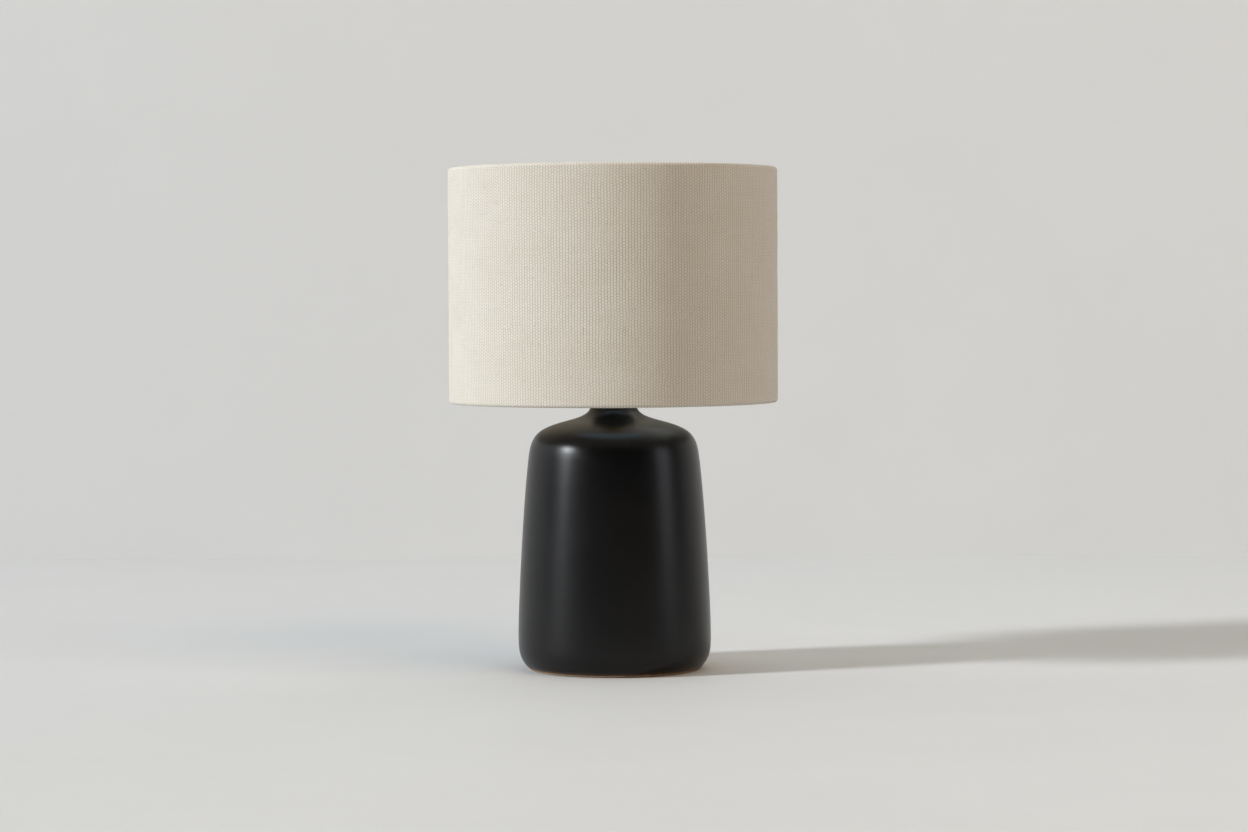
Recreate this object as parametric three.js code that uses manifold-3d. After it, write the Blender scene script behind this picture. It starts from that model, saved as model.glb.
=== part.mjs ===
// Table lamp with a drum shade: a glazed stoneware base on a threaded pipe, a turn-knob socket
// with an LED bulb, and a linen shade that hangs from a harp under a finial.
// Millimetres, +Z up. The origin is on the table under the middle of the base. -Y is the front,
// where the switch knob is, and the cord comes in at +Y.
import * as THREE from 'three';
import { mergeVertices } from 'three/addons/utils/BufferGeometryUtils.js';
import Module from 'manifold-3d';

const wasm = await Module();
wasm.setup();

// ---------------------------------------------------------------- driving dimensions

// Clearances
const gap = 0.3; // between pieces that seat on each other or lie side by side
const runGap = 0.5; // round a piece that turns or slides

// Stoneware base
const bodyHeight = 275; // table to the rim of the neck
const bodyRadius = 96.95; // at the belly, low on the body
const bellyHeight = 36;
const footLift = 0.4; // the clay foot clears the table, the felt carries the lamp
const footTuck = 11.45; // foot ring inside the belly
const bodyTaper = 10.95; // belly to shoulder
const shoulderRise = 35.9; // start of the shoulder's round to the sloping top
const shoulderReach = 32.4; // the same, measured inwards
const neckRise = 18.1; // sloping top to the straight neck
const neckLength = 9;
const neckRadius = 23;
const neckBore = 13;
const neckLip = 6;
const bodyWall = 6;
const footRim = 8; // width of the clay ring round the felt
const feltLedge = 9; // ledge that the felt is glued to
const recessDepth = 12; // table to the underside of the floor
const floorThickness = 7;

// Underside hardware
const feltThickness = 1.6;
const bottomWasherRadius = 30;
const bottomWasherThickness = 2;
const lockWasherRadius = 9;
const lockWasherThickness = 1;
const nutAcrossFlats = 14;
const nutThickness = 4;
const pipeEndGap = 1.4; // felt to the end of the pipe
const pipeRadius = 4.9;
const pipeBore = 3.5;

// Cord inlet
const inletRise = 8; // above the floor of the hollow
const bushingBarrelRadius = 4.7;
const bushingBore = 3.4;
const bushingFlangeRadius = 7.5;
const bushingFlangeThickness = 1.6;
const bushingSnap = 1.1; // how far the inner lip grips past the hole
const bushingLipThickness = 1.4;
const bushingCurveGap = 0.9; // lip to the curved inside of the wall

// Neck stack
const capSkirtWall = 1.5;
const capSkirtDrop = 3.4;
const capThickness = 4.4;
const capFlatRadius = 14;
const locknutAcrossFlats = 16;
const locknutThickness = 4;

// Harp
const saddleThickness = 1.5;
const saddleWidth = 8;
const saddleRingRadius = 9.5;
const saddleBend = 4;
const saddleRise = 11; // middle of the strip to the end of its arms
const pegRadius = 1.5;
const pegHeight = 8;
const harpFootHalfWidth = 24;
const harpWireRadius = 1.6;
const harpLegLength = 27;
const harpHalfWidth = 57;
const harpHeight = 190; // middle of the saddle strip to the middle of the top wire
const harpBowHeight = 95; // the same, up to the widest place
const harpTopHalfWidth = 14;
const ferruleRadius = 3.8;
const ferruleLength = 14;
const topBlockLength = 14;
const topBlockWidth = 9;
const topBlockBelow = 3.5; // under the middle of the wire
const topBlockAbove = 4.5;

// Swivel stud, washer and finial
const studRadius = 3.1;
const studLength = 12.2;
const studFlangeRadius = 6;
const studFlangeThickness = 1.5;
const studTailRadius = 1.8;
const studTailLength = 1.5;
const spiderWasherRadius = 11;
const spiderWasherThickness = 1.6;
const finialHeight = 18.5;
const finialBallRadius = 7.6;
const finialBaseRadius = 7;
const finialNeckRadius = 4.8;

// Socket
const screwShellWall = 0.6;
const insulatorWall = 0.6;
const shellWall = 0.7;
const socketCapWall = 0.8;
const socketCapHeight = 24.6;
const socketCapSkirt = 10.6;
const socketHubRadius = 8;
const socketHubHeight = 10.6;
const setScrewRadius = 1.5;
const setScrewLength = 4.4;
const shellOverlap = 6; // shell inside the cap
const shellHeight = 44.4;
const coreBase = 16; // cap seat to the underside of the core
const coreHeight = 21.6;
const coreWaistHeight = 10;
const coreWaistRadius = 9.5;
const contactRadius = 2.4;
const contactThickness = 1;
const terminalHeadRadius = 3.2;
const terminalHeadThickness = 2.2;
const terminalShankRadius = 1.3;
const terminalShankLength = 4;

// Switch
const switchHeight = 32; // above the cap seat
const switchShaftRadius = 2.4;
const switchShaftLength = 24;
const switchShaftRoot = 4.4; // from the axis of the lamp
const switchSlotMargin = 1.8; // slot in the shell round the shaft
const knobRadius = 6;
const knobLength = 14;
const knobWall = 3; // closed end of the knob
const knobStandOff = 2.6; // cap skirt to the knob

// Bulb
const bulbShellRadius = 13;
const bulbShellWall = 0.8;
const bulbContactRadius = 4.5;
const bulbContactHeight = 1.6;
const bulbInsulatorHeight = 3.7;
const bulbShellHeight = 19.3;
const bulbHousingHeight = 27.5;
const bulbHousingRadius = 24.2;
const bulbHousingWall = 1.2;
const bulbRadius = 30;
const bulbDiffuserWall = 1;
const bulbDiffuserHeight = 56.7;
const ledBoardThickness = 1.6;
const driverBoardThickness = 1.2;
const driverBoardWidth = 16;
const driverBoardHeight = 34;
const capacitorRadius = 3.4;
const capacitorHeight = 12;

// Shade
const shadeRadius = 165;
const shadeHeight = 235;
const clothThickness = 0.8;
const linerThickness = 0.7;
const ringWireRadius = 1.9;
const beadGap = 0.6; // cloth rolled round the ring
const hemLength = 14;
const hemBend = 7.5; // height over which the turned-in cloth comes back to the liner
const beadWrap = THREE.MathUtils.degToRad(200);
const spiderDrop = 21.4; // top of the shade to the underside of the washer
const spiderArmRadius = 1.6;
const spiderArmCount = 3;
const spiderArmBend = 30; // where the arm starts to rise, inside the ring
const spiderArmShelf = 12; // level end of the arm, inside the ring

// Facets
const bodyFacets = 36;
const shadeFacets = 36;
const hardwareFacets = 16;
const wireSides = 8;

// ---------------------------------------------------------------- sizes that follow

// Fits
const pipeHole = pipeRadius + gap;
const studHole = studRadius + runGap;
const ferruleBore = Math.max(pegRadius, harpWireRadius) + runGap;

// Base
const footRadius = bodyRadius - footTuck;
const shoulderRadius = bodyRadius - bodyTaper;
const slopeRadius = shoulderRadius - shoulderReach;
const neckStart = bodyHeight - neckLength;
const slopeHeight = neckStart - neckRise;
const shoulderHeight = slopeHeight - shoulderRise;
const rebateRadius = footRadius - footRim;
const feltRadius = rebateRadius - gap;
const recessRadius = rebateRadius - feltLedge;
const rebateCeiling = feltThickness + gap;
const cavityFloor = recessDepth + floorThickness;
const inletHeight = cavityFloor + inletRise;

// Stack under the floor, from the floor down
const bottomWasherSeat = recessDepth - gap - bottomWasherThickness;
const lockWasherSeat = bottomWasherSeat - gap - lockWasherThickness;
const bottomNutSeat = lockWasherSeat - gap - nutThickness;
const pipeStart = feltThickness + pipeEndGap;

// Stack on the neck, from the rim up
const neckCapSeat = bodyHeight + gap;
const locknutSeat = neckCapSeat + capThickness + gap;
const saddleMiddle = locknutSeat + locknutThickness + gap + saddleThickness / 2;
const socketSeat = saddleMiddle + saddleThickness / 2 + gap;
const pipeEnd = socketSeat + socketHubHeight - 0.5;

// Socket radii, from the bulb's screw shell out
const screwShellBore = bulbShellRadius + runGap;
const screwShellRadius = screwShellBore + screwShellWall;
const insulatorBore = screwShellRadius + 2 * gap;
const insulatorRadius = insulatorBore + insulatorWall;
const shellBore = insulatorRadius + gap;
const shellRadius = shellBore + shellWall;
const socketCapBore = shellRadius + gap;
const socketCapRadius = socketCapBore + socketCapWall;
const coreRadius = insulatorBore - gap;
const coreTop = coreBase + coreHeight;
const shellStart = socketCapHeight - shellOverlap;
const bulbSeat = socketSeat + coreTop + gap + contactThickness + gap;

// Bulb heights above its tip
const bulbInsulatorStart = bulbContactHeight + gap;
const bulbShellStart = bulbInsulatorStart + bulbInsulatorHeight + gap;
const bulbHousingStart = bulbShellStart + bulbShellHeight + gap;
const bulbDiffuserStart = bulbHousingStart + bulbHousingHeight + gap;

// Harp heights
const pegTop = saddleRise + pegHeight;
const harpTop = saddleMiddle + harpHeight;
const studSeat = harpTop + topBlockAbove + gap;
const spiderSeat = studSeat + studFlangeThickness + gap;
const finialSeat = spiderSeat + spiderWasherThickness + gap;

// Shade, measured from the underside of the spider's washer
const shadeTop = spiderDrop;
const shadeBottom = shadeTop - shadeHeight;
const clothMiddle = shadeRadius - clothThickness / 2;
const beadRadius = ringWireRadius + beadGap + clothThickness / 2;
const ringRadius = clothMiddle - beadRadius;
const topRingHeight = shadeTop - beadRadius - clothThickness / 2;
const bottomRingHeight = shadeBottom + beadRadius + clothThickness / 2;
const linerRadius = shadeRadius - clothThickness - gap;
const linerBore = linerRadius - linerThickness;
const hemRadius = linerBore - gap - clothThickness / 2;
const linerInset = ringWireRadius + beadGap;

// ---------------------------------------------------------------- finishes

const finishes = {
  glaze: { color: 0x232021, roughness: 0.42, metalness: 0 },
  felt: { color: 0x2b2a29, roughness: 1, metalness: 0 },
  blackPlastic: { color: 0x161616, roughness: 0.5, metalness: 0 },
  whitePlastic: { color: 0xe9e7e1, roughness: 0.45, metalness: 0 },
  zincSteel: { color: 0xb4b6b8, roughness: 0.4, metalness: 1 },
  blackSteel: { color: 0x1d1c1c, roughness: 0.4, metalness: 1 },
  brass: { color: 0xb08d4f, roughness: 0.33, metalness: 1 },
  nickel: { color: 0xc6c3bb, roughness: 0.3, metalness: 1 },
  card: { color: 0xc9b894, roughness: 0.95, metalness: 0 },
  linen: { color: 0xc9bda6, roughness: 0.95, metalness: 0 },
  styrene: { color: 0xf1eee6, roughness: 0.7, metalness: 0 },
  whiteWire: { color: 0xe6e3dc, roughness: 0.5, metalness: 0.2 },
  opal: { color: 0xf4f1ea, roughness: 0.55, metalness: 0 },
  circuitBoard: { color: 0xdfe3df, roughness: 0.6, metalness: 0 },
};

// ---------------------------------------------------------------- shape helpers

const vec2 = (x, y) => new THREE.Vector2(x, y);
const vec3 = (x, y, z) => new THREE.Vector3(x, y, z);

// Turns an outline of radius and height, a closed loop or a line from axis to axis, about Z.
function turned(outline, facets = hardwareFacets) {
  const points = outline.map((point) => (point.isVector2 ? point.clone() : vec2(...point)));
  if (THREE.ShapeUtils.area(points) < 0) points.reverse();
  const meetsAxis = points[0].x === 0 && points.at(-1).x === 0;
  if (!meetsAxis) points.push(points[0].clone());
  return new THREE.LatheGeometry(points, facets).rotateX(Math.PI / 2);
}

function rod(radius, bottom, top, facets = hardwareFacets) {
  return turned([[0, bottom], [radius, bottom], [radius, top], [0, top]], facets);
}

function sleeve(bore, radius, bottom, top, facets = hardwareFacets) {
  return turned([[bore, bottom], [radius, bottom], [radius, top], [bore, top]], facets);
}

function regularPolygon(radius, sides) {
  return Array.from({ length: sides }, (_, side) => {
    const angle = (2 * Math.PI * side) / sides;
    return vec2(radius * Math.cos(angle), radius * Math.sin(angle));
  });
}

// A round wire along a 3-D curve.
function wire(path, radius, steps, sides = wireSides) {
  const section = new THREE.Shape(regularPolygon(radius, sides));
  return new THREE.ExtrudeGeometry(section, { extrudePath: path, steps, bevelEnabled: false });
}

function hexNut(acrossFlats, hole, thickness) {
  const outline = new THREE.Shape(regularPolygon(acrossFlats / Math.sqrt(3), 6));
  outline.holes.push(new THREE.Path(regularPolygon(hole, hardwareFacets)));
  return new THREE.ExtrudeGeometry(outline, { depth: thickness, bevelEnabled: false });
}

function curvePoints(start, startHandle, endHandle, end, steps) {
  return new THREE.CubicBezierCurve(start, startHandle, endHandle, end).getPoints(steps);
}

function arcPoints(centre, radius, fromAngle, toAngle, steps) {
  return Array.from({ length: steps + 1 }, (_, step) => {
    const angle = fromAngle + ((toAngle - fromAngle) * step) / steps;
    return vec2(centre.x + radius * Math.cos(angle), centre.y + radius * Math.sin(angle));
  });
}

// Moves a line sideways, to the left of its direction when the distance is positive.
function offsetLine(points, distance) {
  return points.map((point, index) => {
    const before = points[Math.max(index - 1, 0)];
    const after = points[Math.min(index + 1, points.length - 1)];
    const into = point.clone().sub(before).normalize();
    const out = after.clone().sub(point).normalize();
    const along = into.clone().add(out).normalize();
    const halfTurn = into.lengthSq() && out.lengthSq() ? into.dot(along) : 1;
    return point.clone().add(vec2(-along.y, along.x).multiplyScalar(distance / halfTurn));
  });
}

// The closed outline of a strip of even thickness whose middle follows the line.
function strip(points, thickness) {
  return [...offsetLine(points, -thickness / 2), ...offsetLine(points, thickness / 2).reverse()];
}

function solidOf(geometry) {
  const bare = geometry.clone();
  bare.deleteAttribute('normal');
  bare.deleteAttribute('uv');
  const merged = mergeVertices(bare, 1e-4);
  const corners = merged.index.array;
  const triangles = [];
  for (let start = 0; start < corners.length; start += 3) {
    const [a, b, c] = corners.slice(start, start + 3);
    if (a !== b && b !== c && c !== a) triangles.push(a, b, c);
  }
  const vertProperties = new Float32Array(merged.attributes.position.array);
  const triVerts = new Uint32Array(triangles);
  return new wasm.Manifold(new wasm.Mesh({ numProp: 3, vertProperties, triVerts }));
}

function geometryOf(solid) {
  const mesh = solid.getMesh();
  const geometry = new THREE.BufferGeometry();
  geometry.setAttribute('position', new THREE.BufferAttribute(mesh.vertProperties, 3));
  geometry.setIndex(new THREE.BufferAttribute(mesh.triVerts, 1));
  return geometry;
}

function cut(geometry, ...cutters) {
  const remove = (solid, cutter) => solid.subtract(solidOf(cutter));
  return geometryOf(cutters.reduce(remove, solidOf(geometry)));
}

function join(first, ...others) {
  const add = (solid, other) => solid.add(solidOf(other));
  return geometryOf(others.reduce(add, solidOf(first)));
}

// A round cutter along +X, +Y or -Y from the axis of the lamp, at a height.
function drill(radius, from, to, height, axis) {
  const cutter = rod(radius, from, to);
  if (axis === '+x') cutter.rotateY(Math.PI / 2);
  if (axis === '-x') cutter.rotateY(-Math.PI / 2);
  if (axis === '+y') cutter.rotateX(-Math.PI / 2);
  if (axis === '-y') cutter.rotateX(Math.PI / 2);
  return cutter.translate(0, 0, height);
}

const lamp = new THREE.Group();

function part(parent, name, geometry, finish) {
  const mesh = new THREE.Mesh(geometry, new THREE.MeshStandardMaterial(finishes[finish]));
  mesh.name = name;
  parent.add(mesh);
  return mesh;
}

function groupAt(parent, height) {
  const group = new THREE.Group();
  group.position.z = height;
  parent.add(group);
  return group;
}

// ---------------------------------------------------------------- stoneware base

// Foot, wall, shoulder and neck: four curves that run into each other.
function bodyOutline() {
  const foot = vec2(footRadius, footLift);
  const belly = vec2(bodyRadius, bellyHeight);
  const shoulder = vec2(shoulderRadius, shoulderHeight);
  const slope = vec2(slopeRadius, slopeHeight);
  const neck = vec2(neckRadius, neckStart);
  const footRun = vec2(0.77, 0.64).multiplyScalar(15.1);
  const shoulderRun = vec2(-0.12, 1).normalize();
  const slopeRun = vec2(-3.45, 1).normalize();
  const along = (point, direction, length) => point.clone().addScaledVector(direction, length);
  const wallHandle = 0.28 * (shoulderHeight - bellyHeight);
  return [
    ...curvePoints(foot, foot.clone().add(footRun), along(belly, vec2(0, -1), 15), belly, 5),
    ...curvePoints(
      belly, along(belly, vec2(0, 1), wallHandle / 2), along(shoulder, shoulderRun, -wallHandle),
      shoulder, 4,
    ).slice(1),
    ...curvePoints(
      shoulder, along(shoulder, shoulderRun, 22.4), along(slope, slopeRun, -25.7), slope, 6,
    ).slice(1),
    ...curvePoints(
      slope, along(slope, slopeRun, 13.8), along(neck, vec2(0, -1), 11.6), neck, 5,
    ).slice(1),
    vec2(neckRadius, bodyHeight),
  ];
}

function radiusAtHeight(outline, height) {
  const above = outline.findIndex((point) => point.y > height);
  const [low, high] = [outline[above - 1], outline[above]];
  return THREE.MathUtils.mapLinear(height, low.y, high.y, low.x, high.x);
}

const outerBody = bodyOutline();
const innerBody = offsetLine(outerBody, bodyWall);
const inletRadius = radiusAtHeight(outerBody, inletHeight);
const inletWall = inletRadius - radiusAtHeight(innerBody, inletHeight);

function ceramicBody() {
  const lipUnderside = bodyHeight - neckLip;
  const inside = innerBody
    .filter((point) => point.y > cavityFloor && point.y < lipUnderside)
    .map((point) => vec2(Math.max(point.x, neckBore), point.y));
  const outline = [
    ...outerBody,
    vec2(neckBore, bodyHeight),
    vec2(neckBore, lipUnderside),
    vec2(Math.max(neckRadius - bodyWall, neckBore + 0.01), lipUnderside),
    ...inside.toReversed(),
    vec2(inside[0].x, cavityFloor),
    vec2(pipeHole + gap, cavityFloor),
    vec2(pipeHole + gap, recessDepth),
    vec2(recessRadius, recessDepth),
    vec2(recessRadius, rebateCeiling),
    vec2(rebateRadius, rebateCeiling),
    vec2(rebateRadius, footLift),
  ];
  const inletHole = drill(
    bushingBarrelRadius + gap, inletRadius - 2 * bodyWall, inletRadius + bodyWall, inletHeight, '+y',
  );
  return cut(turned(outline, bodyFacets), inletHole);
}

// The bushing lies along its own Z, with 0 on the outside of the wall.
function cordBushing() {
  const lip = -inletWall - bushingCurveGap;
  const inner = lip - bushingLipThickness;
  return turned([
    [bushingBore, inner],
    [bushingBarrelRadius + 0.3 * bushingSnap, inner],
    [bushingBarrelRadius + bushingSnap, lip],
    [bushingBarrelRadius, lip],
    [bushingBarrelRadius, gap],
    [bushingFlangeRadius, gap],
    [bushingFlangeRadius, gap + 0.5 * bushingFlangeThickness],
    [bushingFlangeRadius - 0.5 * bushingFlangeThickness, gap + bushingFlangeThickness],
    [bushingBore + 0.5, gap + bushingFlangeThickness],
    [bushingBore, gap + bushingFlangeThickness - 0.5],
  ]);
}

function splitLockWasher() {
  const ring = sleeve(pipeHole, lockWasherRadius, 0, lockWasherThickness);
  const split = new THREE.BoxGeometry(lockWasherRadius, 1, 3 * lockWasherThickness);
  return cut(ring, split.translate(lockWasherRadius, 0, lockWasherThickness / 2));
}

part(lamp, 'ceramic_body', ceramicBody(), 'glaze');
part(lamp, 'felt_pad', rod(feltRadius, 0, feltThickness, bodyFacets), 'felt');
const bushing = part(lamp, 'cord_bushing', cordBushing(), 'blackPlastic');
bushing.position.set(0, inletRadius, inletHeight);
bushing.rotation.x = -Math.PI / 2;

const washerBelow = sleeve(pipeHole, bottomWasherRadius, 0, bottomWasherThickness);
part(lamp, 'bottom_washer', washerBelow, 'zincSteel').position.z = bottomWasherSeat;
part(lamp, 'bottom_lock_washer', splitLockWasher(), 'zincSteel').position.z = lockWasherSeat;
const nutBelow = hexNut(nutAcrossFlats, pipeHole, nutThickness);
part(lamp, 'bottom_nut', nutBelow, 'zincSteel').position.z = bottomNutSeat;
part(lamp, 'lamp_pipe', sleeve(pipeBore, pipeRadius, pipeStart, pipeEnd), 'zincSteel');

// ---------------------------------------------------------------- neck cap and locknut

function neckCap() {
  const skirtBore = neckRadius + gap;
  const skirtRadius = skirtBore + capSkirtWall;
  const edge = vec2(skirtRadius, 0.2 * capThickness);
  const flat = vec2(Math.min(capFlatRadius, 0.6 * skirtRadius), capThickness);
  const shoulder = vec2(0.5 * (edge.x + flat.x), flat.y);
  const dome = curvePoints(edge, vec2(edge.x, 0.7 * capThickness), shoulder, flat, 4);
  return turned([
    vec2(pipeHole, 0),
    vec2(skirtBore, 0),
    vec2(skirtBore, -capSkirtDrop),
    vec2(skirtRadius, -capSkirtDrop),
    ...dome,
    vec2(pipeHole, capThickness),
  ], bodyFacets);
}

part(lamp, 'neck_cap', neckCap(), 'blackSteel').position.z = neckCapSeat;
const nutAbove = hexNut(locknutAcrossFlats, pipeHole, locknutThickness);
part(lamp, 'neck_locknut', nutAbove, 'brass').position.z = locknutSeat;

// ---------------------------------------------------------------- harp

// A bent strip with an arm up each side, a ring round the pipe and a peg on each arm.
function harpSaddle() {
  const corner = vec2(harpFootHalfWidth - saddleBend, saddleBend);
  const rightHalf = [
    ...arcPoints(corner, saddleBend, -Math.PI / 2, 0, 4),
    vec2(harpFootHalfWidth, saddleRise),
  ];
  const leftHalf = rightHalf.map((point) => vec2(-point.x, point.y)).reverse();
  const side = new THREE.Shape(strip([...leftHalf, ...rightHalf], saddleThickness));
  const bent = new THREE.ExtrudeGeometry(side, { depth: saddleWidth, bevelEnabled: false });
  bent.rotateX(Math.PI / 2).translate(0, saddleWidth / 2, 0);
  const ring = rod(saddleRingRadius, -saddleThickness / 2, saddleThickness / 2);
  const pegs = [-1, 1].map((sideSign) => (
    rod(pegRadius, saddleRise - pegRadius, pegTop, 12).translate(sideSign * harpFootHalfWidth, 0, 0)
  ));
  return cut(join(bent, ring, ...pegs), rod(pipeHole, -saddleThickness, saddleThickness));
}

// Half of the bow: straight leg, bulge, and the turn into the level top.
function harpPath() {
  const foot = vec3(harpFootHalfWidth, 0, pegTop + gap);
  const leg = vec3(harpFootHalfWidth, 0, foot.z + harpLegLength);
  const bow = vec3(harpHalfWidth, 0, harpBowHeight);
  const shoulder = vec3(harpTopHalfWidth, 0, harpHeight);
  const lowHandle = 0.5 * (bow.z - leg.z);
  const highHandle = 0.55 * (shoulder.z - bow.z);
  const half = [
    new THREE.LineCurve3(foot, leg),
    new THREE.CubicBezierCurve3(
      leg, vec3(leg.x, 0, leg.z + lowHandle), vec3(bow.x, 0, bow.z - lowHandle), bow,
    ),
    new THREE.CubicBezierCurve3(
      bow, vec3(bow.x, 0, bow.z + highHandle), vec3(0.7 * bow.x, 0, shoulder.z), shoulder,
    ),
  ];
  const mirror = ({ x, z }) => vec3(-x, 0, z);
  const mirrored = ({ v0, v1, v2, v3 }) => (v3
    ? new THREE.CubicBezierCurve3(mirror(v3), mirror(v2), mirror(v1), mirror(v0))
    : new THREE.LineCurve3(mirror(v2), mirror(v1)));
  const path = new THREE.CurvePath();
  half.forEach((curve) => path.add(curve));
  path.add(new THREE.LineCurve3(shoulder, mirror(shoulder)));
  half.toReversed().forEach((curve) => path.add(mirrored(curve)));
  return path;
}

function harpTopBlock() {
  const height = topBlockBelow + topBlockAbove;
  const block = new THREE.BoxGeometry(topBlockLength, topBlockWidth, height);
  block.translate(0, 0, (topBlockAbove - topBlockBelow) / 2);
  const wireBore = drill(harpWireRadius + gap, -topBlockLength, topBlockLength, 0, '+x');
  const tailBore = rod(studTailRadius + runGap, topBlockAbove - studTailLength, topBlockAbove + 1);
  return cut(block, wireBore, tailBore);
}

const harp = groupAt(lamp, saddleMiddle);
part(harp, 'harp_saddle', harpSaddle(), 'brass');
part(harp, 'harp_wire', wire(harpPath(), harpWireRadius, 56), 'brass');
part(harp, 'harp_top_block', harpTopBlock(), 'brass').position.z = harpHeight;

function ferrule() {
  const round = 0.25 * ferruleRadius;
  return turned([
    [ferruleBore, 0],
    [ferruleRadius - round, 0],
    [ferruleRadius, round],
    [ferruleRadius, ferruleLength - round],
    [ferruleRadius - round, ferruleLength],
    [ferruleBore, ferruleLength],
  ], 16);
}

[['ferrule_left', -1], ['ferrule_right', 1]].forEach(([name, sideSign]) => {
  const collar = part(harp, name, ferrule(), 'brass');
  collar.position.set(sideSign * harpFootHalfWidth, 0, saddleRise + gap);
});

// A tail that turns in the block, a flange the washer rests on, and the thread for the finial.
function swivelStud() {
  return turned([
    [0, -studTailLength],
    [studTailRadius, -studTailLength],
    [studTailRadius, 0],
    [studFlangeRadius, 0],
    [studFlangeRadius, studFlangeThickness],
    [studRadius, studFlangeThickness],
    [studRadius, studFlangeThickness + studLength - 0.6],
    [studRadius - 0.6, studFlangeThickness + studLength],
    [0, studFlangeThickness + studLength],
  ]);
}

part(lamp, 'harp_swivel_stud', swivelStud(), 'brass').position.z = studSeat;

// ---------------------------------------------------------------- finial

function finial() {
  const boreDepth = studSeat + studFlangeThickness + studLength - finialSeat + gap;
  const ballCentre = vec2(0, finialHeight - finialBallRadius);
  const neckAngle = -Math.acos(finialNeckRadius / finialBallRadius);
  const baseEdge = 0.2 * finialBaseRadius;
  return turned([
    vec2(0, boreDepth),
    vec2(studHole, boreDepth),
    vec2(studHole, 0),
    vec2(finialBaseRadius, 0),
    vec2(finialBaseRadius, baseEdge),
    vec2(finialNeckRadius, 2 * baseEdge),
    ...arcPoints(ballCentre, finialBallRadius, neckAngle, 0.45 * Math.PI, 8),
    vec2(0, finialHeight),
  ]);
}

part(lamp, 'finial', finial(), 'brass').position.z = finialSeat;

// ---------------------------------------------------------------- socket

const socket = groupAt(lamp, socketSeat);

function socketCap() {
  const skirtStart = socketCapHeight - socketCapSkirt;
  const domeStart = 0.3 * skirtStart;
  const outside = curvePoints(
    vec2(socketHubRadius, domeStart),
    vec2(socketHubRadius + 0.6 * (socketCapRadius - socketHubRadius), domeStart),
    vec2(socketCapRadius, 0.6 * skirtStart),
    vec2(socketCapRadius, skirtStart),
    6,
  );
  const inside = offsetLine(outside, socketCapWall)
    .filter((point) => point.x > socketHubRadius)
    .reverse();
  const body = turned([
    vec2(pipeHole, 0),
    vec2(socketHubRadius, 0),
    ...outside,
    vec2(socketCapRadius, socketCapHeight),
    vec2(socketCapBore, socketCapHeight),
    ...inside,
    vec2(socketHubRadius, inside.at(-1).y),
    vec2(socketHubRadius, socketHubHeight),
    vec2(pipeHole, socketHubHeight),
  ]);
  return cut(body, drill(setScrewRadius + gap, 0, 2 * socketHubRadius, domeStart / 2, '+y'));
}

// The slot runs up from the lower edge, so that the shell slides over the switch.
function slotted(bore, radius, bottom, top) {
  const slotRadius = switchShaftRadius + switchSlotMargin;
  const slotHeight = switchHeight - bottom + 1;
  const channel = new THREE.BoxGeometry(2 * slotRadius, 2 * radius, slotHeight);
  channel.translate(0, -radius, bottom - 1 + slotHeight / 2);
  return cut(
    sleeve(bore, radius, bottom, top), channel, drill(slotRadius, 0, 2 * radius, switchHeight, '-y'),
  );
}

function socketCore() {
  const waistTop = coreBase + coreWaistHeight;
  const body = turned([
    [0, coreBase],
    [coreWaistRadius, coreBase],
    [coreWaistRadius, waistTop],
    [coreRadius, waistTop],
    [coreRadius, coreTop],
    [0, coreTop],
  ]);
  const shankBore = terminalShankRadius + gap;
  const shankDepth = coreWaistRadius - terminalShankLength - gap;
  const bores = ['+x', '-x'].map((axis) => (
    drill(shankBore, shankDepth, coreRadius, coreBase + coreWaistHeight / 2, axis)
  ));
  const switchBore = drill(
    switchShaftRadius + gap, switchShaftRoot - gap, 2 * coreRadius, switchHeight, '-y',
  );
  return cut(body, ...bores, switchBore);
}

function terminalScrew() {
  return turned([
    [0, -terminalShankLength],
    [terminalShankRadius, -terminalShankLength],
    [terminalShankRadius, 0],
    [terminalHeadRadius, 0],
    [terminalHeadRadius, 0.6 * terminalHeadThickness],
    [0.7 * terminalHeadRadius, terminalHeadThickness],
    [0, terminalHeadThickness],
  ], 16);
}

part(socket, 'socket_cap', socketCap(), 'brass');
const setScrew = part(socket, 'cap_set_screw', rod(setScrewRadius, 0, setScrewLength, 12), 'brass');
setScrew.position.set(0, pipeRadius + gap, 0.15 * (socketCapHeight - socketCapSkirt));
setScrew.rotation.x = -Math.PI / 2;

const shellTop = shellStart + shellHeight;
part(socket, 'socket_shell', slotted(shellBore, shellRadius, shellStart, shellTop), 'brass');
const cardSleeve = slotted(insulatorBore, insulatorRadius, shellStart + 1, shellTop - 2);
part(socket, 'shell_insulator', cardSleeve, 'card');
part(socket, 'socket_core', socketCore(), 'whitePlastic');
const contactBottom = coreTop + gap;
const threadedShell = sleeve(screwShellBore, screwShellRadius, contactBottom, shellTop - 2);
part(socket, 'screw_shell', threadedShell, 'nickel');
const contact = rod(contactRadius, contactBottom, contactBottom + contactThickness, 16);
part(socket, 'centre_contact', contact, 'brass');

[['hot_terminal_screw', 1, 'brass'], ['neutral_terminal_screw', -1, 'nickel']]
  .forEach(([name, sideSign, finish]) => {
    const screw = part(socket, name, terminalScrew(), finish);
    screw.position.set(sideSign * (coreWaistRadius + gap), 0, coreBase + coreWaistHeight / 2);
    screw.rotation.y = (sideSign * Math.PI) / 2;
  });

// ---------------------------------------------------------------- switch

// The shaft and knob lie along the group's own Z, which points to the front.
const turnSwitch = groupAt(socket, switchHeight);
turnSwitch.rotation.x = Math.PI / 2;
const knobStart = socketCapRadius + knobStandOff;
const shaftEnd = switchShaftRoot + switchShaftLength;

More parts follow.
